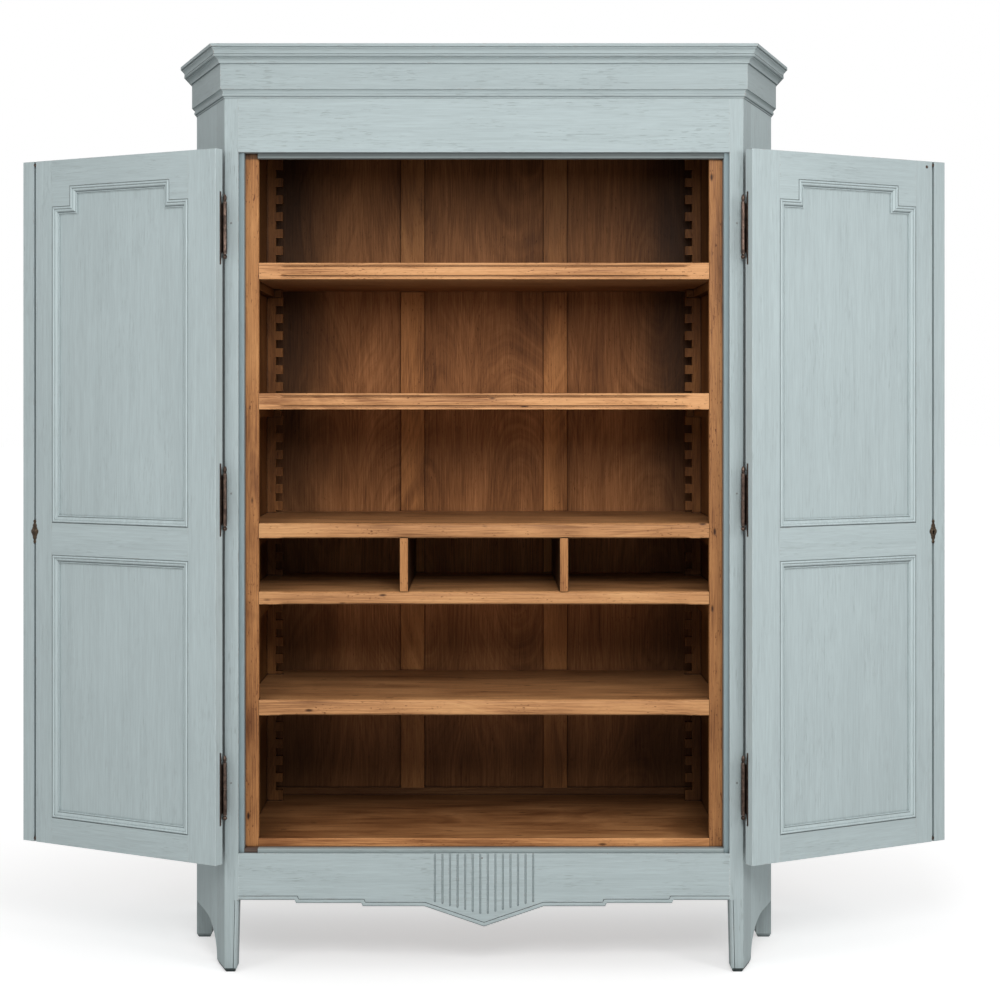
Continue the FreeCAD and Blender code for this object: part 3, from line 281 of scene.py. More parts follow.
@dataclass(frozen=True)
class Paint:
    """Matt milk paint, brushed along the grain over open-pored wood and rubbed at the arrises, with painted
    highlights on the arrises and painted shade in creases, gaps and on undersides.
    """

    colour: Colour = (0.446, 0.522, 0.53)
    scratch_colour: Colour = (0.2, 0.215, 0.205)
    under_colour: Colour = (0.29, 0.22, 0.185)
    # The pale colour at the arrises: partly chalky wear, partly a painted highlight.
    chalk_and_highlight_colour: Colour = (0.56, 0.62, 0.62)
    # Painted shade: the dark colours that creases and quirks, and the deep gap beside each door, are brought
    # to.
    crease_shade_colour: Colour = (0.13, 0.16, 0.165)
    gap_shade_colour: Colour = (0.01, 0.017, 0.017)
    cloud: Streaks = Streaks(0.35, 0.22, detail=3.0)
    cloud_share: float = 0.12
    band: Streaks = Streaks(0.9, 0.022, 3.0)
    band_share: float = 0.144
    brush: Streaks = Streaks(0.12, 0.0042, 7.0, 3.0, 0.6)
    brush_share: float = 0.272
    hair: Streaks = Streaks(0.055, 0.0016, 11.0, roughness=0.6)
    hair_share: float = 0.272
    patch: Streaks = Streaks(0.2, 0.05, 17.0)
    patch_limit: Pair = (0.42, 0.6)
    dash: Streaks = Streaks(0.034, 0.0017, 23.0, 1.0)
    dash_limit: Pair = (0.63, 0.68)
    scratch: float = 0.34
    edge_reach: float = 0.0035
    edge_limit: Pair = (0.02, 0.22)
    rub: Streaks = Streaks(0.03, 0.012, 31.0, 3.0, 0.65)
    chalk_and_highlight_limit: Pair = (0.36, 0.62)
    bare_limit: Pair = (0.57, 0.66)
    # How strongly the arrises take the pale chalk with its painted highlight, and the bare undercoat.
    edge_wear_and_highlight: float = 0.75
    wear_limit: Pair = (0.35, 0.1)
    # Painted shade in creases and quirks, found by occlusion within a short reach.
    crease_shade: float = 0.85
    crease_shade_reach: float = 0.008
    crease_shade_limit: Pair = (0.1, 0.85)
    # Painted shade, almost black, in the deep gap between a door and the post, found by occlusion within a
    # long reach.
    gap_shade: float = 0.0
    gap_shade_reach: float = 0.07
    gap_shade_limit: Pair = (0.42, 0.65)
    # Painted shade: above a given height the paint grows darker, down to this share, as under the header's
    # overhang.
    shade: float = 1.0
    shade_rise: Pair = (0.0, 1.0)
    # Painted shade on faces that look down.
    underside_shade: float = 0.6
    underside_shade_limit: Pair = (-0.1, -0.75)
    roughness: float = 0.62
    roughness_share: float = 0.2
    relief: float = 0.0006
    ease: float = 0.0006
    sheen: float = 0.3

    def tinted(self, share: float) -> "Paint":
        """The same paint, lighter or darker by a factor."""
        return replace(self, colour=tuple(part * share for part in self.colour))

    def material(self, name: str, grain: Grain) -> Material:
        """The paint on boards of one grain direction.

        Args:
            name: The material's name.
            grain: The boards' grain.

        Returns:
            The material.
        """
        made, mix = new_material(name, grain)
        cloud = mix.streaks(self.cloud)
        band = mix.streaks(self.band)
        brush = mix.streaks(self.brush)
        hair = mix.streaks(self.hair)
        tone = 1.0 + (cloud - 0.5) * self.cloud_share + (band - 0.5) * self.band_share
        tone = tone + (brush - 0.5) * self.brush_share + (hair - 0.5) * self.hair_share
        patch = mix.streaks(self.patch).between(*self.patch_limit)
        dash = mix.streaks(self.dash).between(*self.dash_limit)
        scratch = dash * patch
        # An occlusion mask: it keeps the wear off hollows and sets where painted shade darkens the creases.
        sunk = mix.recess(self.crease_shade_reach)
        edge = mix.arris(self.edge_reach).between(*self.edge_limit) * sunk.between(*self.wear_limit)
        rubbed = mix.streaks(self.rub)
        # Pale chalky wear at the arrises, which also stands in as a painted highlight.
        chalk_and_highlight = edge * rubbed.between(*self.chalk_and_highlight_limit)
        bare = edge * rubbed.between(*self.bare_limit)
        colour = mix.shade(self.colour, tone)
        colour = mix.mix(chalk_and_highlight * self.edge_wear_and_highlight, colour, self.chalk_and_highlight_colour)
        colour = mix.mix(scratch * self.scratch, colour, self.scratch_colour)
        colour = mix.mix(bare * self.edge_wear_and_highlight, colour, self.under_colour)
        # Painted shade in creases and quirks.
        colour = mix.mix(sunk.between(*self.crease_shade_limit) * self.crease_shade, colour, self.crease_shade_colour)
        # Painted shade on faces that look down.
        colour = mix.shade(colour, mix.facing(2).between(*self.underside_shade_limit).fade(self.underside_shade))
        # Painted shade, almost black, in the deep gap beside a door.
        if self.gap_shade > 0.0:
            deep = mix.recess(self.gap_shade_reach).between(*self.gap_shade_limit)
            colour = mix.mix(deep * self.gap_shade, colour, self.gap_shade_colour)
        # Painted shade above a given height.
        if self.shade < 1.0:
            colour = mix.shade(colour, mix.position(2).between(*self.shade_rise).fade(self.shade))
        roughness = self.roughness + (brush - 0.5) * self.roughness_share
        relief = brush * 0.5 + hair * 0.3 - scratch * 0.4
        mix.surface(colour, roughness, relief, self.relief, self.ease, {"Specular IOR Level": self.sheen})
        return made


@dataclass(frozen=True)
class BareWood:
    """Waxed wood with rings, fibres, pores and small dark nicks, painted shade in its recesses, and painted
    light and shade by place and facing.
    """

    light: Colour
    middle: Colour
    dark: Colour
    ring: float = 0.007
    board: float = 0.21
    figure: float = 0.9
    drift: float = 0.05
    heart: Streaks = Streaks(0.8, 0.5, 13.0, 1.0)
    heart_share: float = 0.35
    heart_middle: float = 0.42
    heart_slope: float = 0.035
    heart_lean: float = 0.3
    fine: float = 1.0
    fibre: Pair = (0.12, 0.0021)
    blotch: float = 1.2
    cloud: Streaks = Streaks(0.3, 0.08, 29.0)
    pore: Streaks = Streaks(0.022, 0.0011, 37.0, 1.0)
    pore_limit: Pair = (0.62, 0.72)
    pore_share: float = 0.3
    smudge: float = 0.3
    speck: Streaks = Streaks(0.011, 0.0032, 43.0, 2.0, 0.6)
    speck_limit: Pair = (0.63, 0.7)
    patch: Streaks = Streaks(0.09, 0.04, 47.0)
    patch_limit: Pair = (0.4, 0.65)
    nicks: float = 0.8
    nick_spacing: Pair = (0.085, 0.03)
    nick_radius: Pair = (0.16, 0.05)
    nick_chance: Pair = (0.5, 0.6)
    edge_reach: float = 0.004
    edge_limit: Pair = (0.02, 0.25)
    wear_limit: Pair = (0.35, 0.1)
    rubbed: float = 0.35
    # Painted shade in recesses, corners and notches, found by occlusion within a short reach.
    recess_shade: float = 0.85
    recess_shade_reach: float = 0.007
    recess_shade_limit: Pair = (0.1, 0.6)
    # Painted light and shade on faces that look up: lighter above 1, darker below 1.
    lying: float = 1.0
    lying_limit: Pair = (0.5, 0.8)
    # Painted shade on faces that look down.
    underside_shade: float = 0.4
    underside_shade_limit: Pair = (-0.5, -0.8)
    # Painted light and shade by height: below the foot stretch the colour takes the foot factor, above the
    # head stretch the head factor.
    foot: float = 1.0
    foot_rise: Pair = (0.35, 0.85)
    head: float = 1.0
    head_rise: Pair = (1.5, 1.85)
    # Painted shade near the side walls, only partly so at the foot.
    outer: float = 1.0
    outer_reach: Pair = (0.34, 0.52)
    outer_foot: float = 1.0
    outer_rise: Pair = (0.9, 1.5)
    # Painted shade at the back and at both ends of faces that look up.
    back_and_end_shade: float = 1.0
    rear_rise: Pair = (-0.1, 0.27)
    rear_reach: Pair = (0.42, 0.56)
    # Painted shade on faces that look sideways.
    side_face_shade: float = 1.0
    # Painted shade on boards at the right.
    right: float = 1.0
    right_shade_reach: Pair = (0.3, 0.4)
    # Painted light in bands just under the shelves: each is a low height, a high height and a gain; the
    # colour grows lighter up to the high height and falls back within a short end stretch above it.
    light_bands: tuple[Triple, ...] = ()
    light_band_end: float = 0.02
    # Faces that look to the back take none of the painted light and shade by height and side.
    back_limit: Pair = (0.7, 0.3)
    roughness: float = 0.5
    roughness_share: float = 0.2
    relief: float = 0.0006
    ease: float = 0.0009
    sheen: float = 0.35

    def rings(self, mix: Recipe) -> Signal:
        """The year rings, cut by a board whose heart wanders along it.

        Args:
            mix: The recipe.

        Returns:
            The rings, 0.5 in the mean.
        """
        straight = mix.place(1.0, 1.0)
        inputs = {"Vector": mix.place(0.45, 0.09, 5.0), "Scale": 1.0, "Detail": 2.0}
        warp = mix.node("TexNoise", inputs).outputs[1]
        drift = mix.vector("SUBTRACT", warp, (0.5, 0.5, 0.5))
        drift = mix.vector("MULTIPLY", drift, (0.0, self.drift, self.drift))
        wandering = mix.node("SeparateXYZ", {0: mix.vector("ADD", straight, drift)})
        along, thick, wide = (Signal(mix, wandering.outputs[index]) for index in range(3))
        half = mix.maths("PINGPONG", wide + 0.37 * self.board, self.board / 2)
        heart = (mix.streaks(self.heart) - self.heart_middle) * self.heart_share
        heart = heart + along * self.heart_slope + thick * self.heart_lean
        radius = mix.maths("SQRT", half * half + heart * heart)
        inputs = {0: radius * (1.0 / self.ring), 1: along * 1.5, 2: wide * 3.0}
        return mix.noise(mix.node("CombineXYZ", inputs).outputs[0], 2.0, 0.6)

    def nick(self, mix: Recipe) -> Signal:
        """A mask of small dents, some of which are left out by chance.

        Args:
            mix: The recipe.

        Returns:
            The mask.
        """
        inputs = {"Vector": mix.place(*self.nick_spacing, 41.0), "Scale": 1.0, "Randomness": 1.0}
        spot = mix.node("TexVoronoi", inputs, feature="F1")
        dent = Signal(mix, spot.outputs["Distance"]).between(*self.nick_radius)
        return dent * mix.part(spot.outputs["Color"], 0).between(*self.nick_chance)

    def painted_light_and_shade(self, mix: Recipe, colour: Entry) -> Socket:
        """The wood's colour with painted light and shade by facing, height, nearness to the side walls, depth
        and side.

        Args:
            mix: The recipe.
            colour: The colour of the clean wood.

        Returns:
            The colour's socket.
        """
        upward = mix.facing(2)
        # Painted light and shade on faces that look up.
        lying = upward.between(*self.lying_limit)
        colour = mix.shade(colour, lying.fade(self.lying))
        # Painted shade on faces that look down.
        colour = mix.shade(colour, upward.between(*self.underside_shade_limit).fade(self.underside_shade))
        sideways = mix.maths("ABSOLUTE", mix.position(0))
        height = mix.position(2)
        # Painted light and shade by height, near the side walls and in bands under the shelves.
        dim = self.foot + height.between(*self.foot_rise) * (1.0 - self.foot)
        dim = dim * height.between(*self.head_rise).fade(self.head)
        share = self.outer_foot + height.between(*self.outer_rise) * (1.0 - self.outer_foot)
        dim = dim * (sideways.between(*self.outer_reach) * share).fade(self.outer)
        for low, high, gain in self.light_bands:
            light_band = height.between(low, high) * height.between(high + self.light_band_end, high)
            dim = dim * (1.0 + light_band * gain)
        colour = mix.shade(colour, 1.0 + (dim - 1.0) * mix.facing(1).between(*self.back_limit))
        # Painted shade at the back and at both ends of faces that look up.
        if self.back_and_end_shade < 1.0:
            end = sideways.between(*self.rear_reach)
            far = mix.maths("MAXIMUM", mix.position(1).between(*self.rear_rise), end)
            colour = mix.shade(colour, (lying * far).fade(self.back_and_end_shade))
        # Painted shade on faces that look sideways.
        if self.side_face_shade < 1.0:
            side_face_shade = mix.maths("ABSOLUTE", mix.facing(0)).between(*self.lying_limit)
            colour = mix.shade(colour, side_face_shade.fade(self.side_face_shade))
        # Painted shade on boards at the right.
        if self.right < 1.0:
            colour = mix.shade(colour, mix.position(0).between(*self.right_shade_reach).fade(self.right))
        return colour

    def material(self, name: str, grain: Grain) -> Material:
        """The wood of boards of one grain direction.

        Args:
            name: The material's name.
            grain: The boards' grain.

        Returns:
            The material.
        """
        made, mix = new_material(name, grain)
        rings = self.rings(mix)
        fibre = mix.noise(mix.place(*self.fibre, 19.0), 3.0, 0.65)
        cloud = mix.streaks(self.cloud)
        pore = mix.streaks(self.pore).between(*self.pore_limit)
        tone = (rings - 0.5) * self.figure + (fibre - 0.5) * self.fine
        tone = tone + (cloud - 0.5) * self.blotch + 0.5
        speck = mix.streaks(self.speck).between(*self.speck_limit)
        tone = tone - speck * mix.streaks(self.patch).between(*self.patch_limit) * self.smudge
        stops = [(0.08, self.dark), (0.92, self.light), (0.5, self.middle)]
        colour = mix.node("ValToRGB", {0: tone}, stops=stops).outputs[0]
        nick = self.nick(mix)
        # An occlusion mask: it keeps the rubbed light off hollows and sets where painted shade darkens the
        # recesses.
        sunk = mix.recess(self.recess_shade_reach)
        edge = mix.arris(self.edge_reach).between(*self.edge_limit) * sunk.between(*self.wear_limit)
        # One near-black colour for the dents and for the painted shade in recesses.
        dent_and_shade_colour = (self.dark[0] * 0.3, self.dark[1] * 0.25, self.dark[2] * 0.2)
        colour = mix.mix(pore * self.pore_share, colour, self.dark)
        colour = mix.mix(nick * self.nicks, colour, dent_and_shade_colour)
        colour = mix.mix(edge * (0.4 + cloud) * self.rubbed, colour, self.light)
        # Painted shade in recesses, corners and notches.
        colour = mix.mix(sunk.between(*self.recess_shade_limit) * self.recess_shade, colour, dent_and_shade_colour)
        # Painted light and shade by place and facing.
        colour = self.painted_light_and_shade(mix, colour)
        roughness = self.roughness + (fibre - 0.5) * self.roughness_share
        relief = fibre * 0.5 + rings * 0.3 - pore * 0.4 - nick * 0.9
        mix.surface(colour, roughness, relief, self.relief, self.ease, {"Specular IOR Level": self.sheen})
        return made


@dataclass(frozen=True)
class OldMetal:
    """Browned metal with a dull patina, rubbed edges lightened also as a painted highlight, and painted shade
    in its gaps.
    """

    colour: Colour
    patina: Colour
    # The colour of the rubbed edges, which also stands in as a painted highlight.
    rubbed_and_highlight: Colour
    # Painted shade, almost black, in the gaps and hollows between knuckles, leaves and plates, found by
    # occlusion within a short reach.
    recess_shade: Colour = (0.012, 0.008, 0.006)
    recess_shade_limit: Pair = (0.15, 0.55)
    recess_shade_reach: float = 0.006
    recess_shade_share: float = 0.92
    spots: Streaks = Streaks(0.012, 0.006, detail=4.0, roughness=0.65)
    spot_limit: Pair = (0.4, 0.62)
    filing: Streaks = Streaks(0.02, 0.0008, 5.0)
    edge_reach: float = 0.0012
    edge_limit: Pair = (0.03, 0.3)
    edge_share: float = 0.6
    metallic: float = 0.8
    roughness: float = 0.42
    relief: float = 0.0003
    ease: float = 0.0004

    def material(self, name: str) -> Material:
        """The metal of small fittings, filed upright.

        Args:
            name: The material's name.

        Returns:
            The material.
        """
        made, mix = new_material(name, Grain.UPRIGHT)
        spots = mix.streaks(self.spots)
        filed = mix.streaks(self.filing)
        edge = mix.arris(self.edge_reach).between(*self.edge_limit)
        colour = mix.mix(spots.between(*self.spot_limit), self.colour, self.patina)
        # Rubbed edges, lightened also as a painted highlight.
        colour = mix.mix(edge * self.edge_share, colour, self.rubbed_and_highlight)
        # Painted shade in gaps and hollows.
        sunk = mix.recess(self.recess_shade_reach).between(*self.recess_shade_limit)
        colour = mix.mix(sunk * self.recess_shade_share, colour, self.recess_shade)
        roughness = self.roughness + (spots - 0.5) * 0.5 + (filed - 0.5) * 0.15
        relief = spots * 0.7 + filed * 0.3
        mix.surface(colour, roughness, relief, self.relief, self.ease, {"Metallic": self.metallic})
        return made


PAINT = Paint()
# Lighter copies of the paint as painted light: the doors a little lighter, the mouldings more, with deeper
# painted shade on their undersides.
LIT_DOOR_PAINT = replace(PAINT.tinted(1.1), scratch=0.17)
LIT_MOULDING_PAINT = replace(PAINT.tinted(1.2), scratch=0.17, underside_shade=0.5)
# A darker copy of the paint as painted shade on the cornice, with weaker painted shade under its mouldings
# and stronger in its creases.
SHADED_CORNICE_PAINT = replace(PAINT.tinted(0.92), underside_shade=0.88, crease_shade_limit=(0.05, 0.6))
# Lighter copies of the paint as painted light on the canted panels, the right one lightest, as the light
# falls from the right.
LEFT_CANT_LIT_PAINT = PAINT.tinted(1.1)
RIGHT_CANT_LIT_PAINT = PAINT.tinted(1.18)
# Near-black painted shade in the gap beside each door, on the front posts and the hinge stiles.
POST_PAINT = replace(PAINT, gap_shade=0.92)
HINGE_STILE_PAINT = replace(LIT_DOOR_PAINT, gap_shade=0.92)
# On the apron a near-white painted highlight with the chalky wear lights the flutes' arrises, and painted
# shade darkens their grooves.
APRON_PAINT = replace(PAINT, chalk_and_highlight_colour=(0.8, 0.87, 0.87), wear_limit=(0.75, 0.45), crease_shade_reach=0.01,
                      crease_shade_limit=(0.05, 0.55))
# Darker copies of the paint as painted shade: the header's stop strip, darker still towards its top, and the
# upright stops in the opening's shade.
SHADED_STOP_PAINT = replace(PAINT, colour=(0.36, 0.42, 0.42), crease_shade_reach=0.02, shade=0.3,
                     shade_rise=(1.926, 1.937))
SHADED_STOP_SIDE_PAINT = replace(PAINT, colour=(0.27, 0.345, 0.365), crease_shade_reach=0.012)
NAIL_PAINT = replace(PAINT, colour=(0.24, 0.255, 0.25))
# The moulded fronts: strong painted shade in their quirks.
MOULDED_HONEY = BareWood(light=(0.83, 0.45, 0.205), middle=(0.68, 0.335, 0.14), dark=(0.24, 0.09, 0.03),
                         figure=0.5, fine=1.3, blotch=1.0, nicks=1.0, smudge=0.9, sheen=0.25, recess_shade=0.95)
# The plain shelves: painted light on their tops, painted shade at their back and ends.
HONEY = BareWood(light=(0.71, 0.38, 0.163), middle=(0.54, 0.26, 0.106), dark=(0.2, 0.08, 0.027),
                 figure=0.6, fine=1.3, nicks=0.95, smudge=0.7, lying=1.16, back_and_end_shade=0.72, sheen=0.25)
SILL_BROWN = BareWood(light=(0.22, 0.16, 0.13), middle=(0.15, 0.105, 0.085), dark=(0.08, 0.05, 0.04),
                      sheen=0.2)
# The inner posts: painted shade at their tops, under the header, and on the right-hand post.
POST_HONEY = BareWood(light=(0.62, 0.3, 0.112), middle=(0.44, 0.19, 0.065), dark=(0.15, 0.05, 0.015),
                      figure=0.45, fine=1.3, blotch=1.1, nicks=1.0, smudge=1.5, rubbed=1.0, head=0.35,
                      head_rise=(1.926, 1.932), right=0.87, sheen=0.25)
# The dividers: deep painted shade on their side faces.
DIVIDER_HONEY = replace(POST_HONEY, side_face_shade=0.1, right=1.0)
# The floor board: painted shade on its top, deepest at its back and ends.
FLOOR_HONEY = BareWood(light=(0.76, 0.37, 0.15), middle=(0.5, 0.218, 0.08), dark=(0.19, 0.065, 0.02),
                       ring=0.009, figure=0.8, fine=1.4, fibre=(0.16, 0.0042), lying=0.86, back_and_end_shade=0.5,
                       sheen=0.2)
# The back panels: painted shade at the foot and the head and near the side walls, painted light in bands just
# under the shelves.
PANEL_BROWN = BareWood(light=(0.58, 0.255, 0.098), middle=(0.325, 0.131, 0.044), dark=(0.13, 0.045, 0.013),
                       ring=0.0045, board=0.3, figure=0.6, fine=1.2, blotch=0.8, fibre=(0.09, 0.0016),
                       nicks=0.2, rubbed=0.2, foot=0.5, head=0.66, outer=0.22, outer_foot=0.6, sheen=0.12,
                       light_bands=((1.18, 1.335, 0.3), (0.86, 1.03, 0.4), (0.72, 0.87, 0.5), (0.4, 0.605, 0.5)))
# The linings: painted shade at the foot and the head.
BROWN = BareWood(light=(0.3, 0.137, 0.046), middle=(0.165, 0.066, 0.02), dark=(0.06, 0.02, 0.005),
                 ring=0.006, board=0.3, figure=0.6, fibre=(0.09, 0.0018), nicks=0.3, rubbed=0.8, foot=0.5,
                 head=0.75, sheen=0.15)
# The rails: painted light towards the foot.
RAIL_BROWN = replace(BROWN, light=(0.15, 0.07, 0.025), middle=(0.08, 0.033, 0.011), foot=1.5)
# The muntins: painted shade at the foot and the head, painted light in bands under two shelves.
MUNTIN_BROWN = BareWood(light=(0.73, 0.335, 0.118), middle=(0.51, 0.212, 0.067), dark=(0.165, 0.057, 0.015),
                        nicks=0.3, figure=0.6, rubbed=1.0, foot=0.55, head=0.58, sheen=0.15,
                        light_bands=((1.18, 1.335, 0.2), (0.4, 0.605, 0.2)))
# The racks: painted shade at the foot and the head, and nearly black painted shade in their notches.
RACK_BROWN = replace(BROWN, light=(0.36, 0.155, 0.046), middle=(0.19, 0.072, 0.02), rubbed=1.0, foot=0.6,
                     head=0.85, recess_shade=0.97)
# The bright colours light the rubbed edges, partly as painted highlights.
IRON = OldMetal(colour=(0.135, 0.09, 0.07), patina=(0.05, 0.032, 0.025), rubbed_and_highlight=(0.5, 0.41, 0.36))
BRONZE = OldMetal(colour=(0.1, 0.07, 0.045), patina=(0.045, 0.03, 0.022), rubbed_and_highlight=(0.3, 0.22, 0.14))
Coats = tuple[tuple[Names, Union[Paint, BareWood], str, Grain], ...]


def dress(nodes: Iterable[str], material: Material) -> None:
    """Gives a finish to pieces of the frame and reports each.

    Args:
        nodes: The pieces' names.
        material: The finish.
    """
    for name in nodes:
        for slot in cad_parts[name].material_slots:
            slot.material = material
        LOG.info("%s dressed in %s", name, material.name)


def lay(coats: Coats) -> None:
    """Dresses groups of pieces, each in a material of its own."""
    for nodes, finish, name, grain in coats:
        dress(nodes, finish.material(name, grain))


@dataclass
class Carcass:
    """The painted outside: posts, panels, rails, apron, cornice and door stops."""

    coats: Coats = (
        (("front_post_left", "front_post_right"), POST_PAINT, "paint_front_posts", Grain.UPRIGHT),
        (("middle_posts", "rear_posts", "side_panels"), PAINT, "paint_upright", Grain.UPRIGHT),
        (("header_rail",), PAINT, "paint_across", Grain.ACROSS),
        (("apron",), APRON_PAINT, "paint_apron", Grain.ACROSS),
        (("door_stop_strips",), SHADED_STOP_PAINT, "shaded_paint", Grain.ACROSS),
        (("side_rails",), PAINT, "paint_deep", Grain.DEEP),
        (("door_stop_uprights",), SHADED_STOP_SIDE_PAINT, "paint_in_the_shade", Grain.UPRIGHT),
        (("canted_panel_left",), LEFT_CANT_LIT_PAINT, "paint_left_cant", Grain.UPRIGHT),
        (("canted_panel_right",), RIGHT_CANT_LIT_PAINT, "paint_right_cant", Grain.UPRIGHT),
        (("cornice_front", "top_board"), SHADED_CORNICE_PAINT, "paint_front_cornice", Grain.ACROSS),
        (("cornice_left",), SHADED_CORNICE_PAINT, "paint_left_cornice", Grain.LEFT_CANT),
        (("cornice_right",), SHADED_CORNICE_PAINT, "paint_right_cornice", Grain.RIGHT_CANT))

    def dress(self) -> None:
        """Paints every piece along its grain."""
        lay(self.coats)


@dataclass
class Form:
    """A closed mesh in its own axes: x across, y outwards, z up."""

    points: list[Vector]
    faces: list[Face]
    soft_angle: float = math.radians(42)

    def add(self, other: "Form") -> None:
        """Takes another closed mesh in."""
        self.faces += [tuple(index + len(self.points) for index in face) for face in other.faces]
        self.points += other.points

    def moved(self, move: Callable[[Vector], Vector], mirrored: bool = False) -> "Form":
        """The form in its place, with its faces turned round if the move mirrors it."""
        faces = [tuple(reversed(face)) if mirrored else face for face in self.faces]
        return Form([move(point) for point in self.points], faces)

    def piece(self, name: str, material: Material, body: str, slot: str) -> bpy.types.Object:
        """Makes a smooth piece of the form.

        Args:
            name: The piece's name.
            material: Its finish.
            body: The body that it rides on.
            slot: The material slot that it belongs to; not used.

        Returns:
            The new piece.
        """
        mesh = bpy.data.meshes.new(name)
        mesh.from_pydata(self.points, [], self.faces)
        mesh.shade_smooth()
        mesh.set_sharp_from_angle(angle=self.soft_angle)
        mesh.materials.append(material)
        made = bpy.data.objects.new(name, mesh)
        bpy.context.collection.objects.link(made)
        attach(made, body)
        LOG.info("%s built with %d faces", name, len(self.faces))
        return made


def band(size: int, low: int, high: int) -> list[Face]:
    """Faces that join two closed rings of points, given the number of each ring's first point."""
    return [(low + step, low + (step + 1) % size, high + (step + 1) % size, high + step)
            for step in range(size)]


def turned(profile: Sequence[Pair], around: int = 24) -> Form:
    """A turned form about the y axis.

    Args:
        profile: Radius and y of each ring, from the head to the foot; both ends are on the axis.
        around: How many points a ring has.

    Returns:
        The form.
    """
    rings = profile[1:-1]
    points = [Vector((0.0, profile[0][1], 0.0)), Vector((0.0, profile[-1][1], 0.0))]
    for radius, out in rings:
        for step in range(around):
            angle = 2 * math.pi * step / around
            points.append(Vector((radius * math.cos(angle), out, radius * math.sin(angle))))
    firsts = [2 + ring * around for ring in range(len(rings))]
    faces: list[Face] = []
    for step in range(around):
        after = (step + 1) % around
        faces += [(0, firsts[0] + after, firsts[0] + step), (1, firsts[-1] + step, firsts[-1] + after)]
    for low, high in zip(firsts, firsts[1:]):
        faces += band(around, low, high)
    return Form(points, faces)


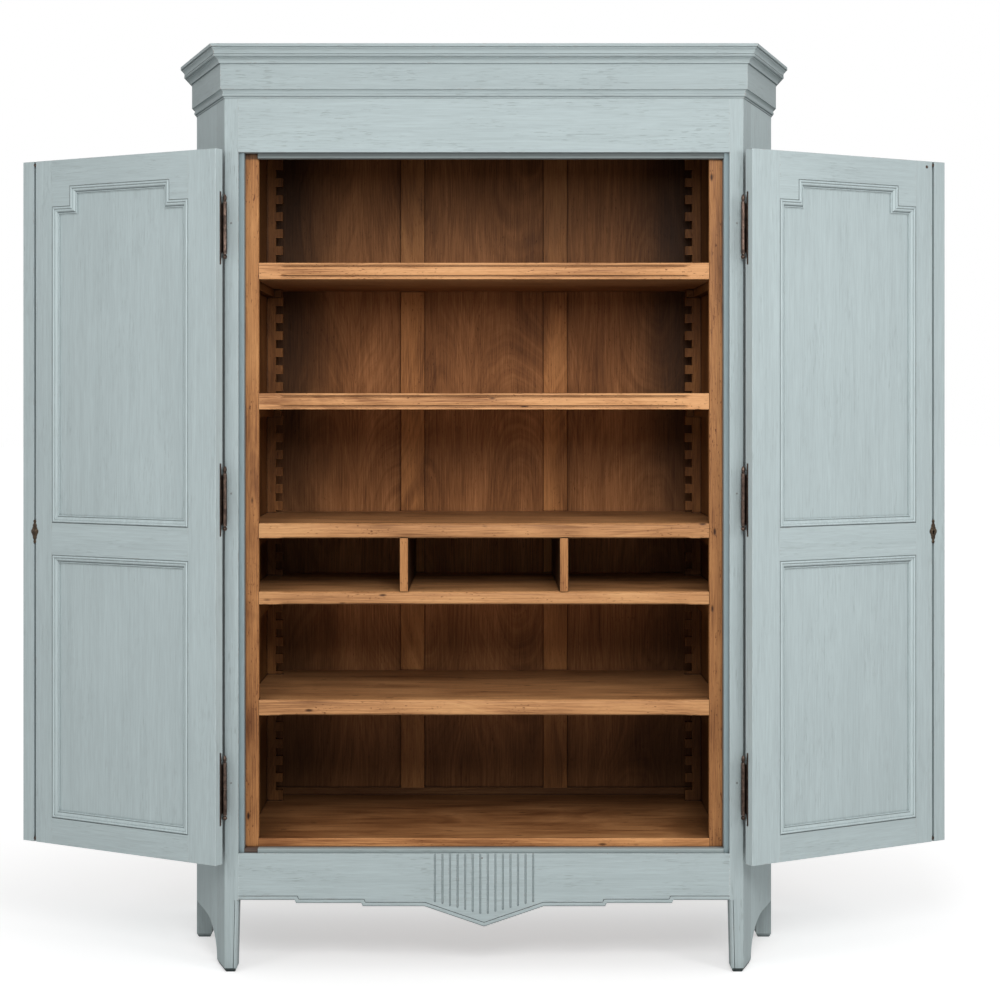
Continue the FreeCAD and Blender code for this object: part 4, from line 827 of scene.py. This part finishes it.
@dataclass(frozen=True)
class Shelf:
    """A shelf in millimetres, notched round the racks, its worn front shaped between plain ends."""

    name: str
    top: float
    thickness: float
    moulded: bool = False
    front: float = -271.657
    nose: float = 12.0
    half_length: float = 536.5
    plain_end: float = 51.0
    stop: float = 12.0
    spacing: float = 6.0
    set_back: float = 0.2
    fillet: float = 5.2
    quirk: float = 4.2
    quirk_depth: float = 4.2
    round: float = 8.0
    wave: float = 0.35
    chip: float = 2.4
    arris: tuple[Triple, ...] = ((1.7, 1.7, 0.0), (0.7, 0.7, 0.4), (0.3, 0.3, 1.0))
    hump: float = 3.0
    steps: int = 9
    wall: float = 565.0
    post_back: float = -225.657
    rack_reach: float = 523.0
    rack_front: float = 216.343
    rack_back: float = 242.343
    back: float = 310.343

    def profile(self) -> list[Triple]:
        """The front from its top arris to the middle.

        Returns:
            For each point its depth behind the front plane on the shaped stretch, that on the plain ends, and
            its distance from the nearer face of the board.
        """
        face = self.set_back
        first = (self.nose, self.nose, 0.0)
        if not self.moulded:
            ease = self.arris[0][0]
            turns = [math.radians(90 * step / 8) for step in range(9)]
            bends = [(face + self.round * (1 - math.sin(turn)), self.round * (1 - math.cos(turn)))
                     for turn in turns]
            return [first] + [(depth, face if drop > 1.5 else ease - drop, drop) for depth, drop in bends]
        low, deep = self.fillet + self.quirk, self.quirk_depth
        shaped = [(face, 1.8), (face, self.fillet - 0.7), (0.6, self.fillet - 0.1),
                  (deep - 0.6, self.fillet + 0.2), (deep, self.fillet + 1.0), (deep, low - 0.6),
                  (deep - 0.8, low)]
        half = self.thickness / 2 - low
        for step in range(self.steps):
            turn = math.radians(90 * step / self.steps)
            shaped.append((face + self.hump * (1 - math.sin(turn)), low + half * (1 - math.cos(turn))))
        return [first, *self.arris] + [(depth, face, drop) for depth, drop in shaped]

    def worn(self, across: float, depth: float, drop: float, sign: float) -> Pair:
        """Moves a point of the front as age and use have done.

        Args:
            across: Its place along the shelf.
            depth: Its depth behind the front plane.
            drop: Its distance from the nearer face of the board.
            sign: 1 over the middle, -1 under it.

        Returns:
            Its depth and its distance from the nearer face.
        """
        if depth >= self.nose:
            return depth, drop
        seed = self.top * 0.7 + sign * 9.0
        depth += self.wave * (0.5 + 0.5 * noise.noise(Vector((across / 55, drop / 9, seed))))
        if drop < 2.0:
            bite = max(0.0, noise.noise(Vector((across / 11, seed, 0.0))) - 0.28) * self.chip
            return depth + bite, drop + bite * 0.8
        return depth, drop

    def nosing(self) -> Form:
        """The shaped front strip of the board.

        Returns:
            The form, in metres.
        """
        upper = self.profile()
        lower = list(reversed(upper))
        section = [(shaped, plain, drop, 1.0) for shaped, plain, drop in upper]
        section += [(shaped, plain, drop, -1.0) for shaped, plain, drop in lower]
        count = int(2 * self.half_length / self.spacing)
        points: list[Vector] = []
        for station in range(count + 1):
            across = -self.half_length + 2 * self.half_length * station / count
            inwards = self.half_length - self.plain_end - abs(across)
            share = min(1.0, max(0.0, inwards / self.stop + 0.5))
            for shaped, plain, drop, sign in section:
                depth = plain + (shaped - plain) * share
                depth, moved = self.worn(across, depth, drop, sign)
                height = self.top - moved if sign > 0 else self.top - self.thickness + moved
                points.append(Vector((across, self.front + depth, height)) / 1000)
        size = len(section)
        faces: list[Face] = [tuple(reversed(range(size))), tuple(range(count * size, (count + 1) * size))]
        for station in range(count):
            faces += band(size, station * size, (station + 1) * size)
        return Form(points, faces)

    def board(self) -> Form:
        """The board behind the front strip, notched round posts and racks.

        Returns:
            The form, in metres.
        """
        half = [(self.half_length, self.front + self.nose), (self.half_length, self.post_back),
                (self.wall, self.post_back), (self.wall, self.rack_front), (self.rack_reach, self.rack_front),
                (self.rack_reach, self.rack_back), (self.wall, self.rack_back), (self.wall, self.back)]
        outline = half + [(-across, deep) for across, deep in reversed(half)]
        count = len(outline)
        points = [Vector((across, deep, level)) / 1000 for level in (self.top - self.thickness, self.top)
                  for across, deep in outline]
        faces: list[Face] = [tuple(reversed(range(count))), tuple(range(count, 2 * count))]
        return Form(points, faces + band(count, 0, count))

    def build(self, material: Material) -> None:
        """Builds the shelf in place of its plain board.

        Args:
            material: The wood.
        """
        shape = self.nosing()
        shape.add(self.board())
        made = shape.piece(f"worn_{self.name}", material, "carcass", "honey_wood")
        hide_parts(self.name)


@dataclass
class Interior:
    """The bare wood inside: posts, boards, shelves, racks and back."""

    shelves: tuple[Shelf, ...] = (
        Shelf("shelf_1", 1683.0, 39.5, moulded=True), Shelf("shelf_2", 1372.0, 39.0, moulded=True),
        Shelf("shelf_3", 1062.0, 36.0), Shelf("shelf_4", 899.0, 31.0), Shelf("shelf_5", 641.0, 37.5))
    coats: Coats = (
        (("inner_posts",), POST_HONEY, "honey_upright", Grain.UPRIGHT),
        (("cubby_dividers",), DIVIDER_HONEY, "honey_dividers", Grain.UPRIGHT),
        (("floor_board",), FLOOR_HONEY, "honey_floor", Grain.ACROSS),
        (("back_panels",), PANEL_BROWN, "brown_panels", Grain.UPRIGHT),
        (("side_linings",), BROWN, "brown_upright", Grain.UPRIGHT),
        (("front_racks", "rear_racks"), RACK_BROWN, "brown_racks", Grain.UPRIGHT),
        (("back_stiles",), MUNTIN_BROWN, "brown_stiles", Grain.UPRIGHT),
        (("sill_block",), SILL_BROWN, "bare_sill", Grain.ACROSS),
        (("floor_bearers", "ceiling_board", "back_rails"), RAIL_BROWN, "brown_across", Grain.ACROSS),
        (("shelf_cleats",), BROWN, "brown_deep", Grain.DEEP))

    def dress(self) -> None:
        """Waxes every board along its grain."""
        light = MOULDED_HONEY.material("light_honey_across", Grain.ACROSS)
        plain = HONEY.material("honey_across", Grain.ACROSS)
        for shelf in self.shelves:
            shelf.build(light if shelf.moulded else plain)
        lay(self.coats)


@dataclass(frozen=True)
class KeyPlate:
    """A crowned lozenge plate with a waist, a small finial at each end, and a keyhole or a boss."""

    outline: tuple[Pair, ...] = (
        (-29.5, 0.3), (-28.4, 3.0), (-26.0, 4.5), (-23.8, 4.2), (-21.6, 2.9), (-19.6, 3.4), (-17.0, 5.6),
        (-14.0, 6.4), (-11.6, 5.8), (-8.6, 8.2), (-6.4, 7.8), (-4.0, 10.6), (-1.8, 11.2), (0.0, 11.6))
    rim: float = 1.0
    crown: float = 1.2
    boss: float = 4.6
    boss_height: float = 2.2
    ring: float = 0.8
    hole: float = 2.6
    slot: Pair = (1.2, 7.5)
    floor: float = -1.6
    sheet: float = 0.7
    rows: int = 96
    columns: int = 24

    def half_width(self, height: float) -> float:
        """The plate's half width.

        Args:
            height: The height over its middle, in millimetres.

        Returns:
            The half width, in millimetres.
        """
        for (low, narrow), (high, wide) in zip(self.outline, self.outline[1:]):
            if low <= -abs(height) <= high:
                share = (-abs(height) - low) / (high - low)
                return narrow + (wide - narrow) * share * share * (3 - 2 * share)
        return self.outline[0][1]

    def stand(self, across: float, height: float, share: float, pierced: bool) -> float:
        """How far the face stands out at a point, in millimetres.

        Args:
            across: The point's distance from the upright middle line.
            height: Its height over the middle.
            share: The distance from the middle line as a share of the half width.
            pierced: Whether the plate has a keyhole.

        Returns:
            The height of the face.
        """
        radius = math.hypot(across, height)
        stand = self.rim + self.crown * (1 - share ** 4) * (0.55 + 0.45 * math.cos(share * math.pi / 2))
        stand += self.ring * math.exp(-((radius - self.boss) / self.ring) ** 2)
        if not pierced:
            return stand + self.boss_height * math.sqrt(max(0.0, 1 - (radius / (self.boss - self.ring)) ** 2))
        half, length = self.slot
        inside = radius < self.hole or abs(across) < half and -length < height < 0
        return self.floor if inside else stand

    def form(self, pierced: bool) -> Form:
        """The plate with its back on y = 0.

        Args:
            pierced: Whether the plate has a keyhole.

        Returns:
            The form, in metres.
        """
        top = -self.outline[0][0]
        across_count = self.columns + 1
        front, back = [], []
        for row in range(self.rows + 1):
            height = -top + 2 * top * row / self.rows
            half = self.half_width(height)
            for column in range(across_count):
                share = 2 * column / self.columns - 1
                stand = self.stand(half * share, height, abs(share), pierced)
                front.append(Vector((half * share, stand, height)) / 1000)
                back.append(Vector((half * share, min(0.0, stand - self.sheet), height)) / 1000)
        faces: list[Face] = []
        shift = len(front)
        for row in range(self.rows):
            for column in range(self.columns):
                first = row * across_count + column
                quad = (first, first + across_count, first + across_count + 1, first + 1)
                faces += [quad, tuple(shift + index for index in reversed(quad))]
        border = list(range(self.columns))
        border += [row * across_count + self.columns for row in range(self.rows)]
        border += [self.rows * across_count + column for column in range(self.columns, 0, -1)]
        border += [row * across_count for row in range(self.rows, 0, -1)]
        for first, second in zip(border, border[1:] + border[:1]):
            faces.append((first, second, second + shift, first + shift))
        return Form(front + back, faces)


@dataclass
class Door:
    """One door: painted frame and panels, escutcheons and studs; its hinge leaves are dressed with the
    fittings.
    """

    side: str
    grain: Grain
    mirror: float
    pierced: bool
    pin: Pair = (0.611, -0.329157)
    thickness: float = 0.027
    lock_reach: float = 0.5705
    lock_height: float = 1.03
    stud_heights: tuple[float, ...] = (0.269, 1.938)
    second_stud: Pair = (0.5505, 1.933)
    stud_profile: tuple[Pair, ...] = (
        (0.0, -0.0006), (0.0016, -0.0006), (0.0022, 0.0), (0.0034, -0.0001), (0.0039, -0.0007),
        (0.0039, -0.0058), (0.0, -0.0058))
    stiles: Names = ("meeting_stile", "edge_strip", "panels")

    def spot(self, reach: float, depth: float, height: float) -> Vector:
        """A point of the open door.

        Args:
            reach: The distance from the pin towards the free edge.
            depth: The distance from the outer face towards the inner one.
            height: The height over the floor.

        Returns:
            The point at rest.
        """
        along, out = math.cos(DOOR_TURN), math.sin(DOOR_TURN)
        across = self.pin[0] + along * reach + out * depth
        return Vector((self.mirror * across, self.pin[1] + out * reach - along * depth, height))

    def fitted(self, form: Form, reach: float, height: float, inner: bool = True) -> Form:
        """A form set on the inner or outer face of the door, its y axis pointing away from the wood."""
        face, way = (self.thickness, 1.0) if inner else (0.0, -1.0)
        return form.moved(
            lambda point: self.spot(reach + way * point.x, face + way * point.y, height + point.z),
            mirrored=self.mirror > 0)

    def build(self, plate: Material, iron: Material) -> None:
        """Builds the escutcheons and catch studs.

        Args:
            plate: The finish of the escutcheons.
            iron: The finish of the studs.
        """
        body = f"{self.side}_door"
        shape = KeyPlate().form(self.pierced)
        plates = self.fitted(shape, self.lock_reach, self.lock_height)
        plates.add(self.fitted(shape, self.lock_reach, self.lock_height, inner=False))
        made = plates.piece(f"{body}_key_plates", plate, body, "dark_bronze")
        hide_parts(f"{body}_escutcheons")
        head = turned(self.stud_profile)
        spots = [(self.lock_reach, height) for height in self.stud_heights]
        spots += [self.second_stud] if self.pierced else []
        studs = Form([], [])
        for reach, height in spots:
            studs.add(self.fitted(head, reach, height))
        made = studs.piece(f"{body}_stud_heads", iron, body, "wrought_iron")
        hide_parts(f"{body}_catch_studs")

    def dress(self, upright: Material) -> None:
        """Paints the door along its grain.

        Args:
            upright: The paint of upright boards.
        """
        dress((f"{self.side}_door_{name}" for name in self.stiles), upright)
        for name, paint, grain in (("hinge_stile", HINGE_STILE_PAINT, Grain.UPRIGHT),
                                   ("rails", LIT_DOOR_PAINT, self.grain),
                                   ("mouldings", LIT_MOULDING_PAINT, Grain.UPRIGHT)):
            dress((f"{self.side}_door_{name}",), paint.material(f"paint_{self.side}_{name}", grain))


@dataclass
class Fittings:
    """Hinges, nails, lock and strike."""

    iron: Names = ("hinge_frame_knuckles", "hinge_pins", "left_door_hinge_leaves",
                             "right_door_hinge_leaves", "lock_case", "lock_bolt", "strike_plate")
    frame_face: float = -0.301657
    stile_nails: tuple[float, ...] = (0.448, 1.134, 1.775)
    stile_nail_reach: float = 0.5995
    apron_nail: Pair = (-0.0045, 0.27)
    nail_profile: tuple[Pair, ...] = (
        (0.0, 0.0003), (0.0011, 0.00027), (0.002, 0.00016), (0.0026, -0.0001), (0.0025, -0.0004),
        (0.0025, -0.0075), (0.0, -0.0075))

    def dress(self, iron: Material) -> None:
        """Gives the fittings their old metal."""
        dress(self.iron, iron)

    def build(self) -> None:
        """Drives the painted nails into posts and apron."""
        nail = turned(self.nail_profile)
        spots = [(way * self.stile_nail_reach, height) for height in self.stile_nails for way in (-1, 1)]
        heads = Form([], [])
        for across, height in spots + [self.apron_nail]:
            heads.add(nail.moved(
                lambda point: Vector((across + point.x, self.frame_face - point.y, height + point.z)),
                mirrored=True))
        made = heads.piece("painted_nails", NAIL_PAINT.material("painted_nail", Grain.UPRIGHT), "carcass",
                           "wrought_iron")
        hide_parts("face_nails")


@dataclass
class Studio:
    """A pale floor, a white surround, two soft lamps and the camera."""

    sky: float = 0.43
    floor_reach: float = 60.0
    floor_colour: Colour = (0.85, 0.85, 0.85)
    floor_lift: float = 0.5
    far_floor_lift: float = 0.66
    lift_reach: Pair = (0.9, 2.2)
    lamps: tuple[tuple[str, float, Triple], ...] = (
        ("front_lamp", 43.0, (0.3, -3.4, 2.3)), ("right_lamp", 20.5, (2.4, -2.7, 2.1)),
        ("left_lamp", 12.5, (-2.4, -2.7, 2.1)))
    lamp_size: Pair = (0.9, 1.1)
    lamp_aim: Triple = (0.0, 0.0, 1.2)
    camera_place: Triple = (0.0, -5.5157, 1.351)
    lens: float = 79.2
    sensor: float = 36.0
    shift: Pair = (0.016, -0.098)

    def build(self) -> None:
        """Builds floor, lights and camera."""
        self.build_floor()
        self.build_sky()
        self.build_lamps()
        camera = bpy.data.cameras.new("camera")
        camera.lens = self.lens
        camera.sensor_width = self.sensor
        camera.shift_x, camera.shift_y = self.shift
        eye = bpy.data.objects.new("camera", camera)
        eye.location = self.camera_place
        eye.rotation_euler = (math.pi / 2, 0.0, 0.0)
        bpy.context.collection.objects.link(eye)
        bpy.context.scene.camera = eye
        bpy.context.scene.view_settings.view_transform = "Standard"

    def build_lamps(self) -> None:
        """Three large soft lamps in front, the strongest in the middle and the weakest at the left."""
        for name, power, place in self.lamps:
            lamp = bpy.data.lights.new(name, "AREA")
            lamp.shape = "RECTANGLE"
            lamp.energy = power
            lamp.size, lamp.size_y = self.lamp_size
            holder = bpy.data.objects.new(name, lamp)
            holder.location = place
            aim = Vector(place) - Vector(self.lamp_aim)
            holder.rotation_euler = aim.to_track_quat("Z", "Y").to_euler()
            holder.visible_camera = False
            bpy.context.collection.objects.link(holder)

    def build_floor(self) -> None:
        """A wide pale floor that keeps the shadow."""
        reach = self.floor_reach
        mesh = bpy.data.meshes.new("floor")
        mesh.from_pydata([(-reach, -reach, 0), (reach, -reach, 0), (reach, reach, 0), (-reach, reach, 0)], [],
                         [(0, 1, 2, 3)])
        floor = bpy.data.objects.new("floor", mesh)
        bpy.context.collection.objects.link(floor)
        material, mix = new_material("pale_floor")
        seen = Signal(mix, mix.node("LightPath").outputs["Is Camera Ray"])
        place = mix.node("NewGeometry").outputs["Position"]
        away = Signal(mix, mix.node("VectorMath", {0: place}, operation="LENGTH").outputs[1])
        far = away.between(*self.lift_reach)
        lift = self.floor_lift + far * (self.far_floor_lift - self.floor_lift)
        glow = mix.shade((1.0, 1.0, 1.0), seen * lift)
        shader = mix.node("BsdfPrincipled", {
            "Base Color": self.floor_colour, "Roughness": 0.9, "Specular IOR Level": 0.0,
            "Emission Color": glow, "Emission Strength": 1.0}).outputs[0]
        mix.node("OutputMaterial", {"Surface": shader})
        mesh.materials.append(material)

    def build_sky(self) -> None:
        """Soft light from all round, seen as plain white."""
        world = bpy.data.worlds.new("surround")
        bpy.context.scene.world = world
        world.use_nodes = True
        mix = Recipe(world.node_tree)
        path = mix.node("LightPath").outputs
        seen = mix.maths("MAXIMUM", Signal(mix, path["Is Camera Ray"]), Signal(mix, path["Is Glossy Ray"]))
        seen = mix.maths("MAXIMUM", seen, Signal(mix, path["Is Transmission Ray"]))
        strength = self.sky + seen * (1.0 - self.sky)
        light = mix.node("Background", {"Color": (1.0, 1.0, 1.0), "Strength": strength})
        mix.node("OutputWorld", {"Surface": light.outputs[0]})


def main() -> None:
    """Builds and dresses the cabinet, part by part."""
    logging.basicConfig(level=logging.INFO, format="%(name)s: %(message)s")
    Studio().build()
    Carcass().dress()
    Interior().dress()
    upright = LIT_DOOR_PAINT.material("paint_door_uprights", Grain.UPRIGHT)
    iron = IRON.material("browned_iron")
    plate = BRONZE.material("dark_bronze_plate")
    for door in (Door("left", Grain.LEFT_DOOR, -1.0, False), Door("right", Grain.RIGHT_DOOR, 1.0, True)):
        door.dress(upright)
        door.build(plate, iron)
    fittings = Fittings()
    fittings.dress(iron)
    fittings.build()


if __name__ == "__main__":
    main()
